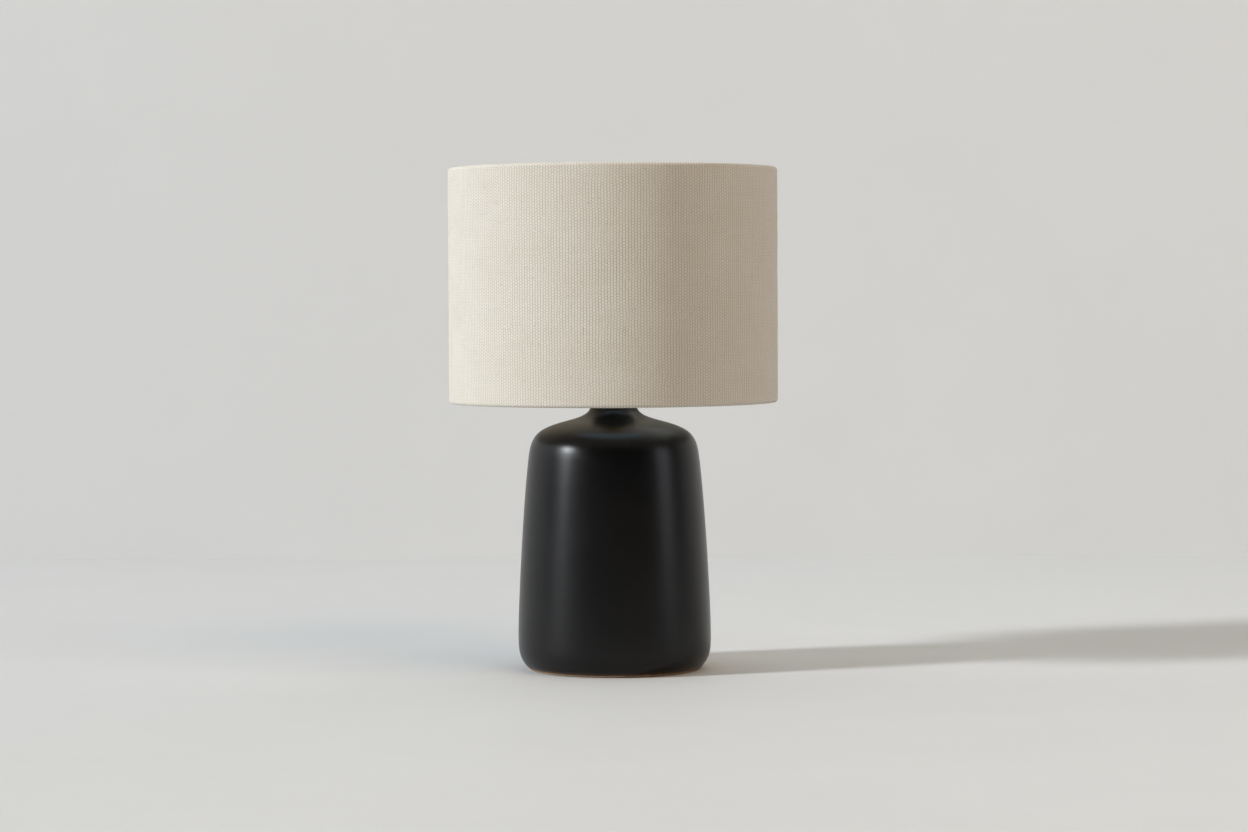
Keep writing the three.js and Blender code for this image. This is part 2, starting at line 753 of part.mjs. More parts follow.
function switchKnob() {
  const bore = switchShaftRadius + gap;
  const boreEnd = Math.max(shaftEnd + gap, knobStart + knobWall);
  const end = Math.max(knobStart + knobLength, boreEnd + knobWall);
  const round = 0.2 * knobRadius;
  return turned([
    [0, boreEnd],
    [bore, boreEnd],
    [bore, knobStart],
    [0.85 * knobRadius, knobStart],
    [knobRadius, knobStart + round],
    [knobRadius, end - round],
    [knobRadius - round, end],
    [0, end],
  ]);
}

part(turnSwitch, 'switch_shaft', rod(switchShaftRadius, switchShaftRoot, shaftEnd, 12), 'brass');
part(turnSwitch, 'switch_knob', switchKnob(), 'blackPlastic');

// ---------------------------------------------------------------- bulb

const bulb = groupAt(lamp, bulbSeat);

function bulbInsulator() {
  const top = bulbInsulatorStart + bulbInsulatorHeight;
  return turned([
    [0, bulbInsulatorStart],
    [1.15 * bulbContactRadius, bulbInsulatorStart],
    [bulbShellRadius - 1.4, top],
    [0, top],
  ]);
}

function bulbScrewShell() {
  const top = bulbShellStart + bulbShellHeight;
  const outside = [
    vec2(bulbShellRadius - 2.5, bulbShellStart),
    vec2(bulbShellRadius, bulbShellStart + 2.5),
    vec2(bulbShellRadius, top),
  ];
  return turned([...outside, ...offsetLine(outside, bulbShellWall).reverse()]);
}

function bulbHousing() {
  const top = bulbHousingStart + bulbHousingHeight;
  const outside = [
    ...curvePoints(
      vec2(bulbShellRadius + 0.6, bulbHousingStart),
      vec2(bulbShellRadius + 0.6, bulbHousingStart + 0.4 * bulbHousingHeight),
      vec2(bulbHousingRadius, top - 0.5 * bulbHousingHeight),
      vec2(bulbHousingRadius, top - ledBoardThickness),
      5,
    ),
    vec2(bulbHousingRadius, top),
  ];
  return turned([...outside, ...offsetLine(outside, bulbHousingWall).reverse()]);
}

function bulbDiffuser() {
  const top = bulbDiffuserStart + bulbDiffuserHeight;
  const centre = vec2(0, top - bulbRadius);
  const joinAngle = THREE.MathUtils.degToRad(-25);
  const round = arcPoints(centre, bulbRadius, joinAngle, Math.PI / 2, 8);
  const rise = round[0].y - bulbDiffuserStart;
  const tangent = vec2(-Math.sin(joinAngle), Math.cos(joinAngle));
  const low = curvePoints(
    vec2(bulbHousingRadius, bulbDiffuserStart),
    vec2(bulbHousingRadius, bulbDiffuserStart + 0.3 * rise),
    round[0].clone().addScaledVector(tangent, -0.35 * rise),
    round[0],
    3,
  );
  const outside = [...low, ...round.slice(1, -1)];
  const inside = offsetLine(outside, bulbDiffuserWall).reverse();
  return turned([
    vec2(0, top - bulbDiffuserWall),
    ...inside,
    ...outside,
    vec2(0, top),
  ]);
}

const housingTop = bulbHousingStart + bulbHousingHeight;
const ledBoardRadius = bulbHousingRadius - bulbHousingWall - 2 * gap;
part(bulb, 'bulb_contact', rod(bulbContactRadius, 0, bulbContactHeight, 16), 'nickel');
part(bulb, 'bulb_insulator', bulbInsulator(), 'blackPlastic');
part(bulb, 'bulb_screw_shell', bulbScrewShell(), 'nickel');
part(bulb, 'bulb_housing', bulbHousing(), 'whitePlastic');
part(bulb, 'bulb_diffuser', bulbDiffuser(), 'opal');
const ledBoard = rod(ledBoardRadius, housingTop - ledBoardThickness - gap, housingTop - gap);
part(bulb, 'led_board', ledBoard, 'circuitBoard');

const boardBottom = housingTop - 3 * ledBoardThickness - driverBoardHeight;
const driverBoard = new THREE.BoxGeometry(driverBoardThickness, driverBoardWidth, driverBoardHeight);
driverBoard.translate(0, 0, boardBottom + driverBoardHeight / 2);
part(bulb, 'driver_board', driverBoard, 'circuitBoard');
const capacitorBottom = bulbHousingStart + 2;
const capacitor = rod(capacitorRadius, capacitorBottom, capacitorBottom + capacitorHeight, 12);
const capacitorPlace = driverBoardThickness / 2 + gap + capacitorRadius;
part(bulb, 'driver_capacitor', capacitor, 'blackPlastic').position.x = capacitorPlace;

// ---------------------------------------------------------------- shade

const shade = groupAt(lamp, spiderSeat);

// From the straight wall, over the ring and back down to lie against the liner.
function turnedInEdge(ringHeight, inwards) {
  const bead = arcPoints(vec2(ringRadius, 0), beadRadius, 0, beadWrap, 5);
  const edge = [...bead, vec2(hemRadius, -hemBend), vec2(hemRadius, -hemLength)];
  return edge.map((point) => vec2(point.x, ringHeight - inwards * point.y));
}

function shadeFabric() {
  const middle = [
    ...turnedInEdge(bottomRingHeight, 1).reverse(),
    ...turnedInEdge(topRingHeight, -1),
  ];
  const notchStart = ringRadius - spiderArmShelf;
  const notch = drill(spiderArmRadius + gap, notchStart, ringRadius, topRingHeight, '+x');
  const notches = spiderAngles().map((angle) => notch.clone().rotateZ(angle));
  return cut(turned(strip(middle, clothThickness), shadeFacets), ...notches);
}

function spiderAngles() {
  return Array.from({ length: spiderArmCount }, (_, arm) => (
    Math.PI / 2 + (2 * Math.PI * arm) / spiderArmCount
  ));
}

function ring() {
  return new THREE.TorusGeometry(ringRadius, ringWireRadius, wireSides, shadeFacets);
}

// The arm lies along +X: level from the washer, up to the ring, level again.
function spiderArm() {
  const low = spiderWasherThickness / 2;
  const start = vec3(spiderWasherRadius + gap, 0, low);
  const bend = vec3(ringRadius - spiderArmBend, 0, low);
  const shelf = vec3(ringRadius - spiderArmShelf, 0, topRingHeight);
  const end = vec3(ringRadius - ringWireRadius - gap, 0, topRingHeight);
  const handle = 0.45 * (shelf.x - bend.x);
  const path = new THREE.CurvePath();
  path.add(new THREE.LineCurve3(start, bend));
  path.add(new THREE.CubicBezierCurve3(
    bend, vec3(bend.x + handle, 0, low), vec3(shelf.x - handle, 0, shelf.z), shelf,
  ));
  path.add(new THREE.LineCurve3(shelf, end));
  return wire(path, spiderArmRadius, 18);
}

part(shade, 'shade_fabric', shadeFabric(), 'linen');
const liner = sleeve(
  linerBore, linerRadius, bottomRingHeight + linerInset, topRingHeight - linerInset, shadeFacets,
);
part(shade, 'shade_liner', liner, 'styrene');
part(shade, 'shade_top_ring', ring(), 'whiteWire').position.z = topRingHeight;
part(shade, 'shade_bottom_ring', ring(), 'whiteWire').position.z = bottomRingHeight;
const spiderHub = sleeve(studHole, spiderWasherRadius, 0, spiderWasherThickness);
part(shade, 'spider_washer', spiderHub, 'whiteWire');
spiderAngles().forEach((angle, arm) => {
  part(shade, `spider_arm_${arm + 1}`, spiderArm(), 'whiteWire').rotation.z = angle;
});

export default lamp;
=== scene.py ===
"""Table lamp with a drum shade: fine surfaces, cloth and finishes built round the packed model.

Lengths are in metres and share the model's frame: Z up, the switch at the front on -Y, the cord
inlet and the seam of the shade at the back on +Y.
"""

import math
import bmesh
import bpy
import numpy as np
from bpy.props import FloatProperty, FloatVectorProperty, IntProperty, PointerProperty
from mathutils import Euler, Matrix, Vector


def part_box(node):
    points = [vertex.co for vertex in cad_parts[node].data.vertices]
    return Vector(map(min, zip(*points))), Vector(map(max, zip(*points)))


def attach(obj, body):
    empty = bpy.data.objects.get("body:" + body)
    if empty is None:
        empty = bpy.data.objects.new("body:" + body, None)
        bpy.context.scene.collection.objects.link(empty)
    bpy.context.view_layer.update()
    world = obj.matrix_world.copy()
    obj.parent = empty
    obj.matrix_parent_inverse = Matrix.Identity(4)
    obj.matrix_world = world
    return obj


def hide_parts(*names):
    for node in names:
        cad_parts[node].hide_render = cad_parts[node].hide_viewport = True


bl_info = {
    "name": "Drum shade table lamp",
    "version": (1, 0, 0),
    "blender": (4, 5, 0),
    "location": "3D View > Sidebar > Lamp",
    "description": "Builds the lamp's glazed base, linen shade, socket, harp and bulb",
    "category": "Add Mesh",
}

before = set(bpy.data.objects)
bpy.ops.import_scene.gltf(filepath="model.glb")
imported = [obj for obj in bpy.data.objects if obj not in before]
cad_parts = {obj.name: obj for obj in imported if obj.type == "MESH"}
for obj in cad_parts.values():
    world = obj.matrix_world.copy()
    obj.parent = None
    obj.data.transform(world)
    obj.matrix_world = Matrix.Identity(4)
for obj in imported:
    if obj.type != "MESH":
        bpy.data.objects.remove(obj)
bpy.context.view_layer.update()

MM = 0.001
TURN = 2 * math.pi
BACK = math.pi / 2
finishes = {}


# ---------------------------------------------------------------- places taken from the frame

def bottom(node):
    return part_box(node)[0].z


def top(node):
    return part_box(node)[1].z


def radius(node):
    low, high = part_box(node)
    return (high.x - low.x) / 2


# ---------------------------------------------------------------- settings

def length(name, description, default, low=0.0, high=1.0):
    return FloatProperty(
        name=name, description=description, default=default, min=low, max=high,
        subtype="DISTANCE", unit="LENGTH", precision=5,
    )


def share(name, description, default):
    return FloatProperty(
        name=name, description=description, default=default, min=0.0, max=1.0, subtype="FACTOR",
    )


def colour(name, description, default):
    return FloatVectorProperty(
        name=name, description=description, default=default, size=3, min=0.0, max=1.0,
        subtype="COLOR",
    )


class LampBaseSettings(bpy.types.PropertyGroup):
    """The glazed stoneware base"""

    segments: IntProperty(name="Segments", description="Faces round the base", default=216, min=24)
    wall: length("Wall", "Thickness of the stoneware", 6 * MM)
    glaze: colour("Glaze", "Colour of the satin glaze", (0.0017, 0.0015, 0.0017))
    clay: colour("Clay", "Colour of the bare clay at the foot", (0.42, 0.29, 0.17))
    clay_line: length("Clay line", "Height at which the glaze stops", 2.1 * MM)
    glaze_roughness: share("Glaze roughness", "Roughness of the satin glaze", 0.3)


class LampShadeSettings(bpy.types.PropertyGroup):
    """The linen drum and its frame"""

    segments: IntProperty(name="Segments", description="Faces round the drum", default=320, min=24)
    cloth: length("Cloth", "Thickness of the linen", 0.8 * MM)
    yarn: length("Yarn", "Distance from one yarn to the next", 1.45 * MM)
    linen: colour("Linen", "Colour of the cloth on the raised yarns", (0.655, 0.617, 0.55))
    # Painted shade: this darker colour is laid into the low gaps between the yarns, where shade falls
    linen_shadow: colour("Linen gaps", "Colour between the yarns", (0.436, 0.384, 0.31))
    hem: length("Hem", "Cloth turned in over each ring", 14 * MM)
    overlap: length("Overlap", "Width of the glued seam at the back", 14 * MM)
    slubs: IntProperty(name="Slubs", description="Thick places in the yarn", default=260, min=0)


class LampHardwareSettings(bpy.types.PropertyGroup):
    """Socket, harp and bulb"""

    cap_thread: length("Bulb thread", "Pitch of the bulb's thread", 3.63 * MM)
    stud_thread: length("Stud thread", "Pitch of the finial's thread", 0.94 * MM)
    knob_flutes: IntProperty(name="Flutes", description="Grooves round the knob", default=14, min=3)


class LampStageSettings(bpy.types.PropertyGroup):
    """Floor, wall, lights and camera"""

    camera_distance: length("Camera distance", "Camera to the lamp's axis", 3.3, high=20.0)
    camera_height: length("Camera height", "Camera above the floor", 0.3813, high=5.0)
    lens: FloatProperty(name="Lens", description="Focal length in millimetres", default=94.75)
    wall_distance: length("Wall", "Wall behind the lamp's axis", 1.365, high=20.0)
    floor_paint: colour("Floor", "Colour of the floor", (0.575, 0.573, 0.565))
    wall_paint: colour("Wall paint", "Colour of the wall", (0.67, 0.67, 0.665))


SETTINGS = {
    "lamp_base": LampBaseSettings,
    "lamp_shade": LampShadeSettings,
    "lamp_hardware": LampHardwareSettings,
    "lamp_stage": LampStageSettings,
}


# ---------------------------------------------------------------- node tree helpers

def add_node(tree, kind, inputs=None, **attributes):
    """Adds a node, sets its attributes, and gives or links each named or numbered input."""
    node = tree.nodes.new(kind)
    for attribute, value in attributes.items():
        setattr(node, attribute, value)
    for key, value in (inputs or {}).items():
        feed(tree, node.inputs[key], value)
    return node


def feed(tree, socket, value):
    if isinstance(value, bpy.types.NodeSocket):
        tree.links.new(value, socket)
    else:
        socket.default_value = value


def maths(tree, operation, first, second=0.0, third=None):
    inputs = {0: first, 1: second}
    if third is not None:
        inputs[2] = third
    return add_node(tree, "ShaderNodeMath", inputs, operation=operation).outputs[0]


def vector_maths(tree, operation, first, second=(0.0, 0.0, 0.0)):
    node = add_node(tree, "ShaderNodeVectorMath", {0: first, 1: second}, operation=operation)
    return node.outputs[0]


def ramped(tree, value, low, high, to_low=0.0, to_high=1.0):
    """Maps a value from one range to another with soft ends."""
    inputs = {"Value": value, 1: low, 2: high, 3: to_low, 4: to_high}
    node = add_node(tree, "ShaderNodeMapRange", inputs, interpolation_type="SMOOTHSTEP")
    return node.outputs["Result"]


def mixed(tree, factor, first, second, blend="MIX"):
    inputs = {"Factor": factor, 6: first, 7: second}
    node = add_node(tree, "ShaderNodeMix", inputs, data_type="RGBA", blend_type=blend)
    return node.outputs[2]


def noise(tree, vector, scale, detail=3.0, roughness=0.5, distortion=0.0):
    inputs = {
        "Vector": vector, "Scale": scale, "Detail": detail, "Roughness": roughness,
        "Distortion": distortion,
    }
    return add_node(tree, "ShaderNodeTexNoise", inputs).outputs["Fac"]


def opaque(rgb):
    return (*rgb, 1.0)


def shader_group(name, inputs, outputs, build):
    """A shader node group: inputs and outputs are (name, kind[, default]); build fills it."""
    if name in bpy.data.node_groups:
        return bpy.data.node_groups[name]
    tree = bpy.data.node_groups.new(name, "ShaderNodeTree")
    for label, kind, *default in inputs:
        socket = tree.interface.new_socket(label, in_out="INPUT", socket_type=kind)
        if default:
            socket.default_value = default[0]
    for label, kind in outputs:
        tree.interface.new_socket(label, in_out="OUTPUT", socket_type=kind)
    entry = tree.nodes.new("NodeGroupInput")
    leave = tree.nodes.new("NodeGroupOutput")
    build(tree, entry.outputs, leave.inputs)
    return tree


def use_group(tree, group, inputs):
    node = tree.nodes.new("ShaderNodeGroup")
    node.node_tree = group
    for key, value in inputs.items():
        feed(tree, node.inputs[key], value)
    return node.outputs


# ---------------------------------------------------------------- effects used by several finishes

def mottle_group():
    """Uneven colour at two sizes, with a low height of its own."""
    def build(tree, given, out):
        coarse = noise(tree, given["Vector"], given["Scale"], 4.0, 0.55, 0.4)
        finer = maths(tree, "MULTIPLY", given["Scale"], 5.3)
        fine = noise(tree, given["Vector"], finer, 3.0, 0.6)
        blend = maths(tree, "MULTIPLY_ADD", coarse, 0.65, maths(tree, "MULTIPLY", fine, 0.35))
        mask = ramped(tree, blend, 0.36, 0.64)
        amount = maths(tree, "MULTIPLY", mask, given["Amount"])
        tree.links.new(mixed(tree, amount, given["Color"], given["Second Color"]), out["Color"])
        tree.links.new(mask, out["Mask"])
        tree.links.new(blend, out["Height"])

    return shader_group(
        "Mottle",
        [("Vector", "NodeSocketVector"), ("Color", "NodeSocketColor"),
         ("Second Color", "NodeSocketColor"), ("Scale", "NodeSocketFloat", 40.0),
         ("Amount", "NodeSocketFloat", 1.0)],
        [("Color", "NodeSocketColor"), ("Mask", "NodeSocketFloat"), ("Height", "NodeSocketFloat")],
        build,
    )


def mottled(tree, vector, first, second, scale, amount):
    """Two colours in clouds of one scale, the second at most as strong as the amount."""
    return use_group(tree, mottle_group(), {
        "Vector": vector, "Color": first, "Second Color": second, "Scale": scale, "Amount": amount,
    })


def brushed_group():
    """Fine scratches that run round a turned piece, with a few deeper ones."""
    def build(tree, given, out):
        stretched = vector_maths(tree, "MULTIPLY", given["Vector"], given["Stretch"])
        fine = noise(tree, stretched, given["Scale"], 4.0, 0.7)
        wider = maths(tree, "MULTIPLY", given["Scale"], 0.13)
        smears = noise(tree, given["Vector"], wider, 3.0, 0.6, 0.8)
        spread = maths(tree, "SUBTRACT", fine, 0.5)
        smear = maths(tree, "MULTIPLY", maths(tree, "SUBTRACT", smears, 0.5), 1.6)
        swing = maths(tree, "MULTIPLY", maths(tree, "ADD", spread, smear), given["Swing"])
        tree.links.new(maths(tree, "ADD", given["Roughness"], swing), out["Roughness"])
        tree.links.new(fine, out["Height"])
        tree.links.new(ramped(tree, smears, 0.4, 0.68), out["Tarnish"])

    return shader_group(
        "Brushed",
        [("Vector", "NodeSocketVector"), ("Stretch", "NodeSocketVector", (1.0, 1.0, 12.0)),
         ("Scale", "NodeSocketFloat", 300.0), ("Roughness", "NodeSocketFloat", 0.3),
         ("Swing", "NodeSocketFloat", 0.25)],
        [("Roughness", "NodeSocketFloat"), ("Height", "NodeSocketFloat"),
         ("Tarnish", "NodeSocketFloat")],
        build,
    )


def speckle_group():
    """Sparse round specks."""
    def build(tree, given, out):
        inputs = {"Vector": given["Vector"], "Scale": given["Scale"], "Randomness": 1.0}
        cells = add_node(tree, "ShaderNodeTexVoronoi", inputs)
        chosen = add_node(tree, "ShaderNodeSeparateColor", {"Color": cells.outputs["Color"]})
        keep = maths(tree, "LESS_THAN", chosen.outputs[0], given["Share"])
        spot = ramped(tree, cells.outputs["Distance"], 0.12, 0.26, 1.0, 0.0)
        tree.links.new(maths(tree, "MULTIPLY", keep, spot), out["Mask"])

    return shader_group(
        "Speckle",
        [("Vector", "NodeSocketVector"), ("Scale", "NodeSocketFloat", 200.0),
         ("Share", "NodeSocketFloat", 0.1)],
        [("Mask", "NodeSocketFloat")],
        build,
    )


def weave_group():
    """A plain weave on a flat cloth map in metres, with uneven yarns and every second one thicker."""
    def build(tree, given, out):
        pitch = given["Yarn"]
        parts = add_node(tree, "ShaderNodeSeparateXYZ", {"Vector": given["Vector"]})
        sway = noise(tree, given["Vector"], 42.0, 2.0)
        drift = maths(tree, "MULTIPLY", maths(tree, "SUBTRACT", sway, 0.5), 1.5)
        quick = noise(tree, given["Vector"], 330.0, 2.0)
        jitter = maths(tree, "MULTIPLY", maths(tree, "SUBTRACT", quick, 0.5), 0.55)
        wander = maths(tree, "ADD", drift, jitter)
        across = maths(tree, "ADD", maths(tree, "DIVIDE", parts.outputs["X"], pitch), wander)
        along = maths(tree, "SUBTRACT", maths(tree, "DIVIDE", parts.outputs["Y"], pitch), wander)

        def arched(position, turn):
            """A row of rounded humps, one to each half turn."""
            return maths(tree, "ABSOLUTE", maths(tree, "SINE", maths(tree, "MULTIPLY", position, turn)))

        def hump(position, other):
            """Height of one set of yarns as it rises over and dips under the other set."""
            belly = arched(position, math.pi)
            phase = maths(tree, "MULTIPLY", maths(tree, "FLOOR", position), math.pi)
            swing = maths(tree, "SINE", maths(tree, "MULTIPLY_ADD", other, math.pi, phase))
            rise = maths(tree, "MULTIPLY_ADD", swing, 0.5, 0.5)
            return maths(tree, "MULTIPLY", maths(tree, "POWER", belly, 0.7), rise)

        warp = hump(across, along)
        weft = hump(along, maths(tree, "ADD", across, 1.0))

        def yarn_tone(position, other, seed):
            """A tone of each yarn that drifts along its length."""
            index = maths(tree, "FLOOR", position)
            slow = maths(tree, "MULTIPLY", other, 0.045)
            place = add_node(tree, "ShaderNodeCombineXYZ", {"X": index, "Y": slow, "Z": seed})
            scaled = vector_maths(tree, "MULTIPLY", place.outputs[0], (3.17, 1.0, 1.0))
            return noise(tree, scaled, 1.0, 1.0)

        warp_tone = yarn_tone(across, along, 3.0)
        weft_tone = yarn_tone(along, across, 11.0)
        rib = maths(tree, "POWER", arched(across, math.pi / 2), 1.3)
        column = maths(tree, "FLOOR", maths(tree, "MULTIPLY", across, 0.5))
        cross = arched(maths(tree, "ADD", along, column), math.pi / 2)
        ribbed = maths(tree, "MULTIPLY", rib, maths(tree, "MULTIPLY_ADD", cross, 0.75, 0.25))
        yarns = maths(tree, "MAXIMUM", maths(tree, "MULTIPLY", warp, 1.08), weft)
        strength = given["Rib"]
        body = maths(tree, "MULTIPLY", yarns, maths(tree, "SUBTRACT", 1.0, strength))
        height = maths(tree, "ADD", body, maths(tree, "MULTIPLY", ribbed, strength))
        tree.links.new(height, out["Height"])
        over_warp = maths(tree, "GREATER_THAN", warp, weft)
        tone = add_node(tree, "ShaderNodeMix", {0: over_warp, 2: weft_tone, 3: warp_tone})
        tree.links.new(tone.outputs[0], out["Tone"])
        stretched = vector_maths(tree, "MULTIPLY", given["Vector"], (330.0, 520.0, 1.0))
        fleck = noise(tree, stretched, 1.0, 2.0)
        tree.links.new(ramped(tree, fleck, 0.715, 0.76), out["Fleck"])

    return shader_group(
        "Plain weave",
        [("Vector", "NodeSocketVector"), ("Yarn", "NodeSocketFloat", 0.0015),
         ("Rib", "NodeSocketFloat", 0.45)],
        [("Height", "NodeSocketFloat"), ("Tone", "NodeSocketFloat"), ("Fleck", "NodeSocketFloat")],
        build,
    )


# ---------------------------------------------------------------- finishes

def new_finish(name, **constants):
    """A material with one Principled shader, returned with its tree and its object coordinates."""
    material = bpy.data.materials.new(name)
    material.use_nodes = True
    tree = material.node_tree
    shader = tree.nodes["Principled BSDF"]
    for label, value in constants.items():
        shader.inputs[label.replace("_", " ")].default_value = value
    place = tree.nodes.new("ShaderNodeTexCoord").outputs["Object"]
    finishes[name] = material
    return tree, shader, place


def bump(tree, shader, height, strength, distance, below=None):
    inputs = {"Height": height, "Strength": strength, "Distance": distance}
    if below is not None:
        inputs["Normal"] = below
    node = add_node(tree, "ShaderNodeBump", inputs)
    feed(tree, shader.inputs["Normal"], node.outputs["Normal"])
    return node.outputs["Normal"]


def glaze_finish(base):
    """Satin black glaze over throwing rings; brown where it thins, bare clay at the foot."""
    tree, shader, place = new_finish("glaze", IOR=1.36)
    parts = add_node(tree, "ShaderNodeSeparateXYZ", {"Vector": place})
    height = parts.outputs["Z"]
    flat = vector_maths(tree, "MULTIPLY", place, (1.0, 1.0, 0.0))
    reach = add_node(tree, "ShaderNodeVectorMath", {0: flat}, operation="LENGTH").outputs["Value"]
    ragged = noise(tree, place, 130.0, 4.0, 0.6)
    line = maths(tree, "MULTIPLY_ADD", ragged, 1.6 * MM, base.clay_line - 0.8 * MM)
    outside = maths(tree, "SUBTRACT", height, line)
    foot_clay = ramped(tree, outside, -0.25 * MM, 0.25 * MM, 1.0, 0.0)
    recess = maths(tree, "MULTIPLY",
                   maths(tree, "LESS_THAN", reach, radius("felt_pad") + 0.6 * MM),
                   maths(tree, "LESS_THAN", height, top("bottom_washer") + 2 * MM))
    clay_mask = maths(tree, "MAXIMUM", foot_clay, recess)
    thin_line = ramped(tree, outside, 0.2 * MM, 3.2 * MM, 0.75, 0.0)
    rim = ramped(tree, height, top("ceramic_body") - 1.2 * MM, top("ceramic_body"), 0.0, 0.6)
    thin = maths(tree, "MAXIMUM", thin_line, rim)

    glaze = mottled(tree, place, opaque(base.glaze), (0.0034, 0.0026, 0.0024, 1.0), 26.0, 0.5)
    specks = use_group(tree, speckle_group(), {"Vector": place, "Scale": 420.0, "Share": 0.05})
    speckled = mixed(tree, maths(tree, "MULTIPLY", specks["Mask"], 0.18), glaze["Color"],
                     (0.016, 0.011, 0.009, 1.0))
    browned = mixed(tree, thin, speckled, (0.075, 0.036, 0.018, 1.0))
    clay = mottled(tree, place, opaque(base.clay), (0.27, 0.18, 0.105, 1.0), 90.0, 0.8)
    feed(tree, shader.inputs["Base Color"], mixed(tree, clay_mask, browned, clay["Color"]))

    satin = maths(tree, "MULTIPLY_ADD", glaze["Mask"], 0.02, base.glaze_roughness)
    rough = add_node(tree, "ShaderNodeMix", {0: clay_mask, 2: satin, 3: 0.88}).outputs[0]
    feed(tree, shader.inputs["Roughness"], rough)

    warp = maths(tree, "MULTIPLY_ADD", noise(tree, place, 9.0, 2.0), 0.012, height)
    rings = maths(tree, "SINE", maths(tree, "MULTIPLY", warp, TURN / (5.5 * MM)))
    fine_rings = maths(tree, "SINE", maths(tree, "MULTIPLY", warp, TURN / (1.7 * MM)))
    thrown = maths(tree, "ADD", rings, maths(tree, "MULTIPLY", fine_rings, 0.35))
    normal = bump(tree, shader, thrown, 0.12, 0.03 * MM)
    peel = noise(tree, place, 330.0, 2.0, 0.5)
    normal = bump(tree, shader, peel, 0.08, 0.06 * MM, normal)
    grit = maths(tree, "MULTIPLY", noise(tree, place, 1500.0, 3.0), clay_mask)
    bump(tree, shader, grit, 0.5, 0.25 * MM, normal)


def linen_finish(shade):
    """Coarse oatmeal linen on the cloth's own flat map."""
    tree, shader, _ = new_finish(
        "linen", Roughness=0.95, Sheen_Weight=0.12, Sheen_Roughness=0.6, Specular_IOR_Level=0.2,
    )
    flat = add_node(tree, "ShaderNodeUVMap", uv_map="cloth").outputs["UV"]
    cloth = use_group(tree, weave_group(), {"Vector": flat, "Yarn": shade.yarn, "Rib": 0.55})
    # Painted shade: the low places of the weave take the darker gap colour; each yarn's own random tone
    # is mixed in as well
    painted_gap_shade = ramped(tree, cloth["Height"], 0.12, 0.8)
    tone_and_gap_shade = maths(tree, "MULTIPLY_ADD", maths(tree, "SUBTRACT", cloth["Tone"], 0.5), 0.4, painted_gap_shade)
    yarn = mixed(tree, tone_and_gap_shade, opaque(shade.linen_shadow), opaque(shade.linen))
    faded = mixed(tree, 1.0, yarn, (0.9, 0.86, 0.8, 1.0), "MULTIPLY")
    cloudy = mottled(tree, flat, yarn, faded, 22.0, 0.25)
    flecked = mixed(tree, maths(tree, "MULTIPLY", cloth["Fleck"], 0.75), cloudy["Color"],
                    (0.14, 0.09, 0.05, 1.0))
    feed(tree, shader.inputs["Base Color"], flecked)
    normal = bump(tree, shader, cloth["Height"], 0.9, 0.35 * MM)
    fibres = noise(tree, vector_maths(tree, "MULTIPLY", flat, (9000.0, 5000.0, 1.0)), 1.0, 3.0)
    bump(tree, shader, fibres, 0.35, 0.08 * MM, normal)


def felt_finish():
    tree, shader, place = new_finish("felt", Roughness=1.0, Sheen_Weight=0.5, Sheen_Roughness=0.5)
    cloudy = mottled(tree, place, (0.028, 0.027, 0.026, 1.0), (0.07, 0.066, 0.06, 1.0), 260.0, 0.7)
    strands = noise(tree, place, 1600.0, 5.0, 0.75, 1.6)
    pale = ramped(tree, strands, 0.5, 0.75, 0.0, 0.5)
    fibres = mixed(tree, pale, cloudy["Color"], (0.13, 0.12, 0.11, 1.0))
    feed(tree, shader.inputs["Base Color"], fibres)
    bump(tree, shader, strands, 0.8, 0.4 * MM)


def metal_finish(name, metal, tarnish, roughness, scale=520.0, amount=0.4):
    """Turned or drawn metal: fine scratches, uneven gloss and a little tarnish."""
    tree, shader, place = new_finish(name, Metallic=1.0)
    brushed = use_group(tree, brushed_group(), {
        "Vector": place, "Scale": scale, "Roughness": roughness, "Swing": 0.22,
    })
    dull = maths(tree, "MULTIPLY", brushed["Tarnish"], amount)
    feed(tree, shader.inputs["Base Color"], mixed(tree, dull, opaque(metal), opaque(tarnish)))
    feed(tree, shader.inputs["Roughness"], brushed["Roughness"])
    bump(tree, shader, brushed["Height"], 0.12, 0.04 * MM)


def moulded_finish(name, base, second, roughness, grain=900.0, depth=0.03, **constants):
    """Moulded, painted or coated surface: a fine texture and faint clouding."""
    tree, shader, place = new_finish(name, **constants)
    cloudy = mottled(tree, place, opaque(base), opaque(second), 60.0, 0.5)
    feed(tree, shader.inputs["Base Color"], cloudy["Color"])
    feed(tree, shader.inputs["Roughness"],
         maths(tree, "MULTIPLY_ADD", cloudy["Mask"], 0.08, roughness - 0.04))
    bump(tree, shader, noise(tree, place, grain, 2.0), 0.35, depth * MM)


def card_finish():
    tree, shader, place = new_finish("card", Roughness=0.95)
    cloudy = mottled(tree, place, (0.6, 0.49, 0.31, 1.0), (0.46, 0.35, 0.2, 1.0), 180.0, 0.8)
    strands = noise(tree, place, 2100.0, 4.0, 0.7, 1.0)
    dark = ramped(tree, strands, 0.55, 0.7, 0.0, 0.6)
    fibres = mixed(tree, dark, cloudy["Color"], (0.3, 0.22, 0.13, 1.0))
    feed(tree, shader.inputs["Base Color"], fibres)
    bump(tree, shader, strands, 0.4, 0.15 * MM)


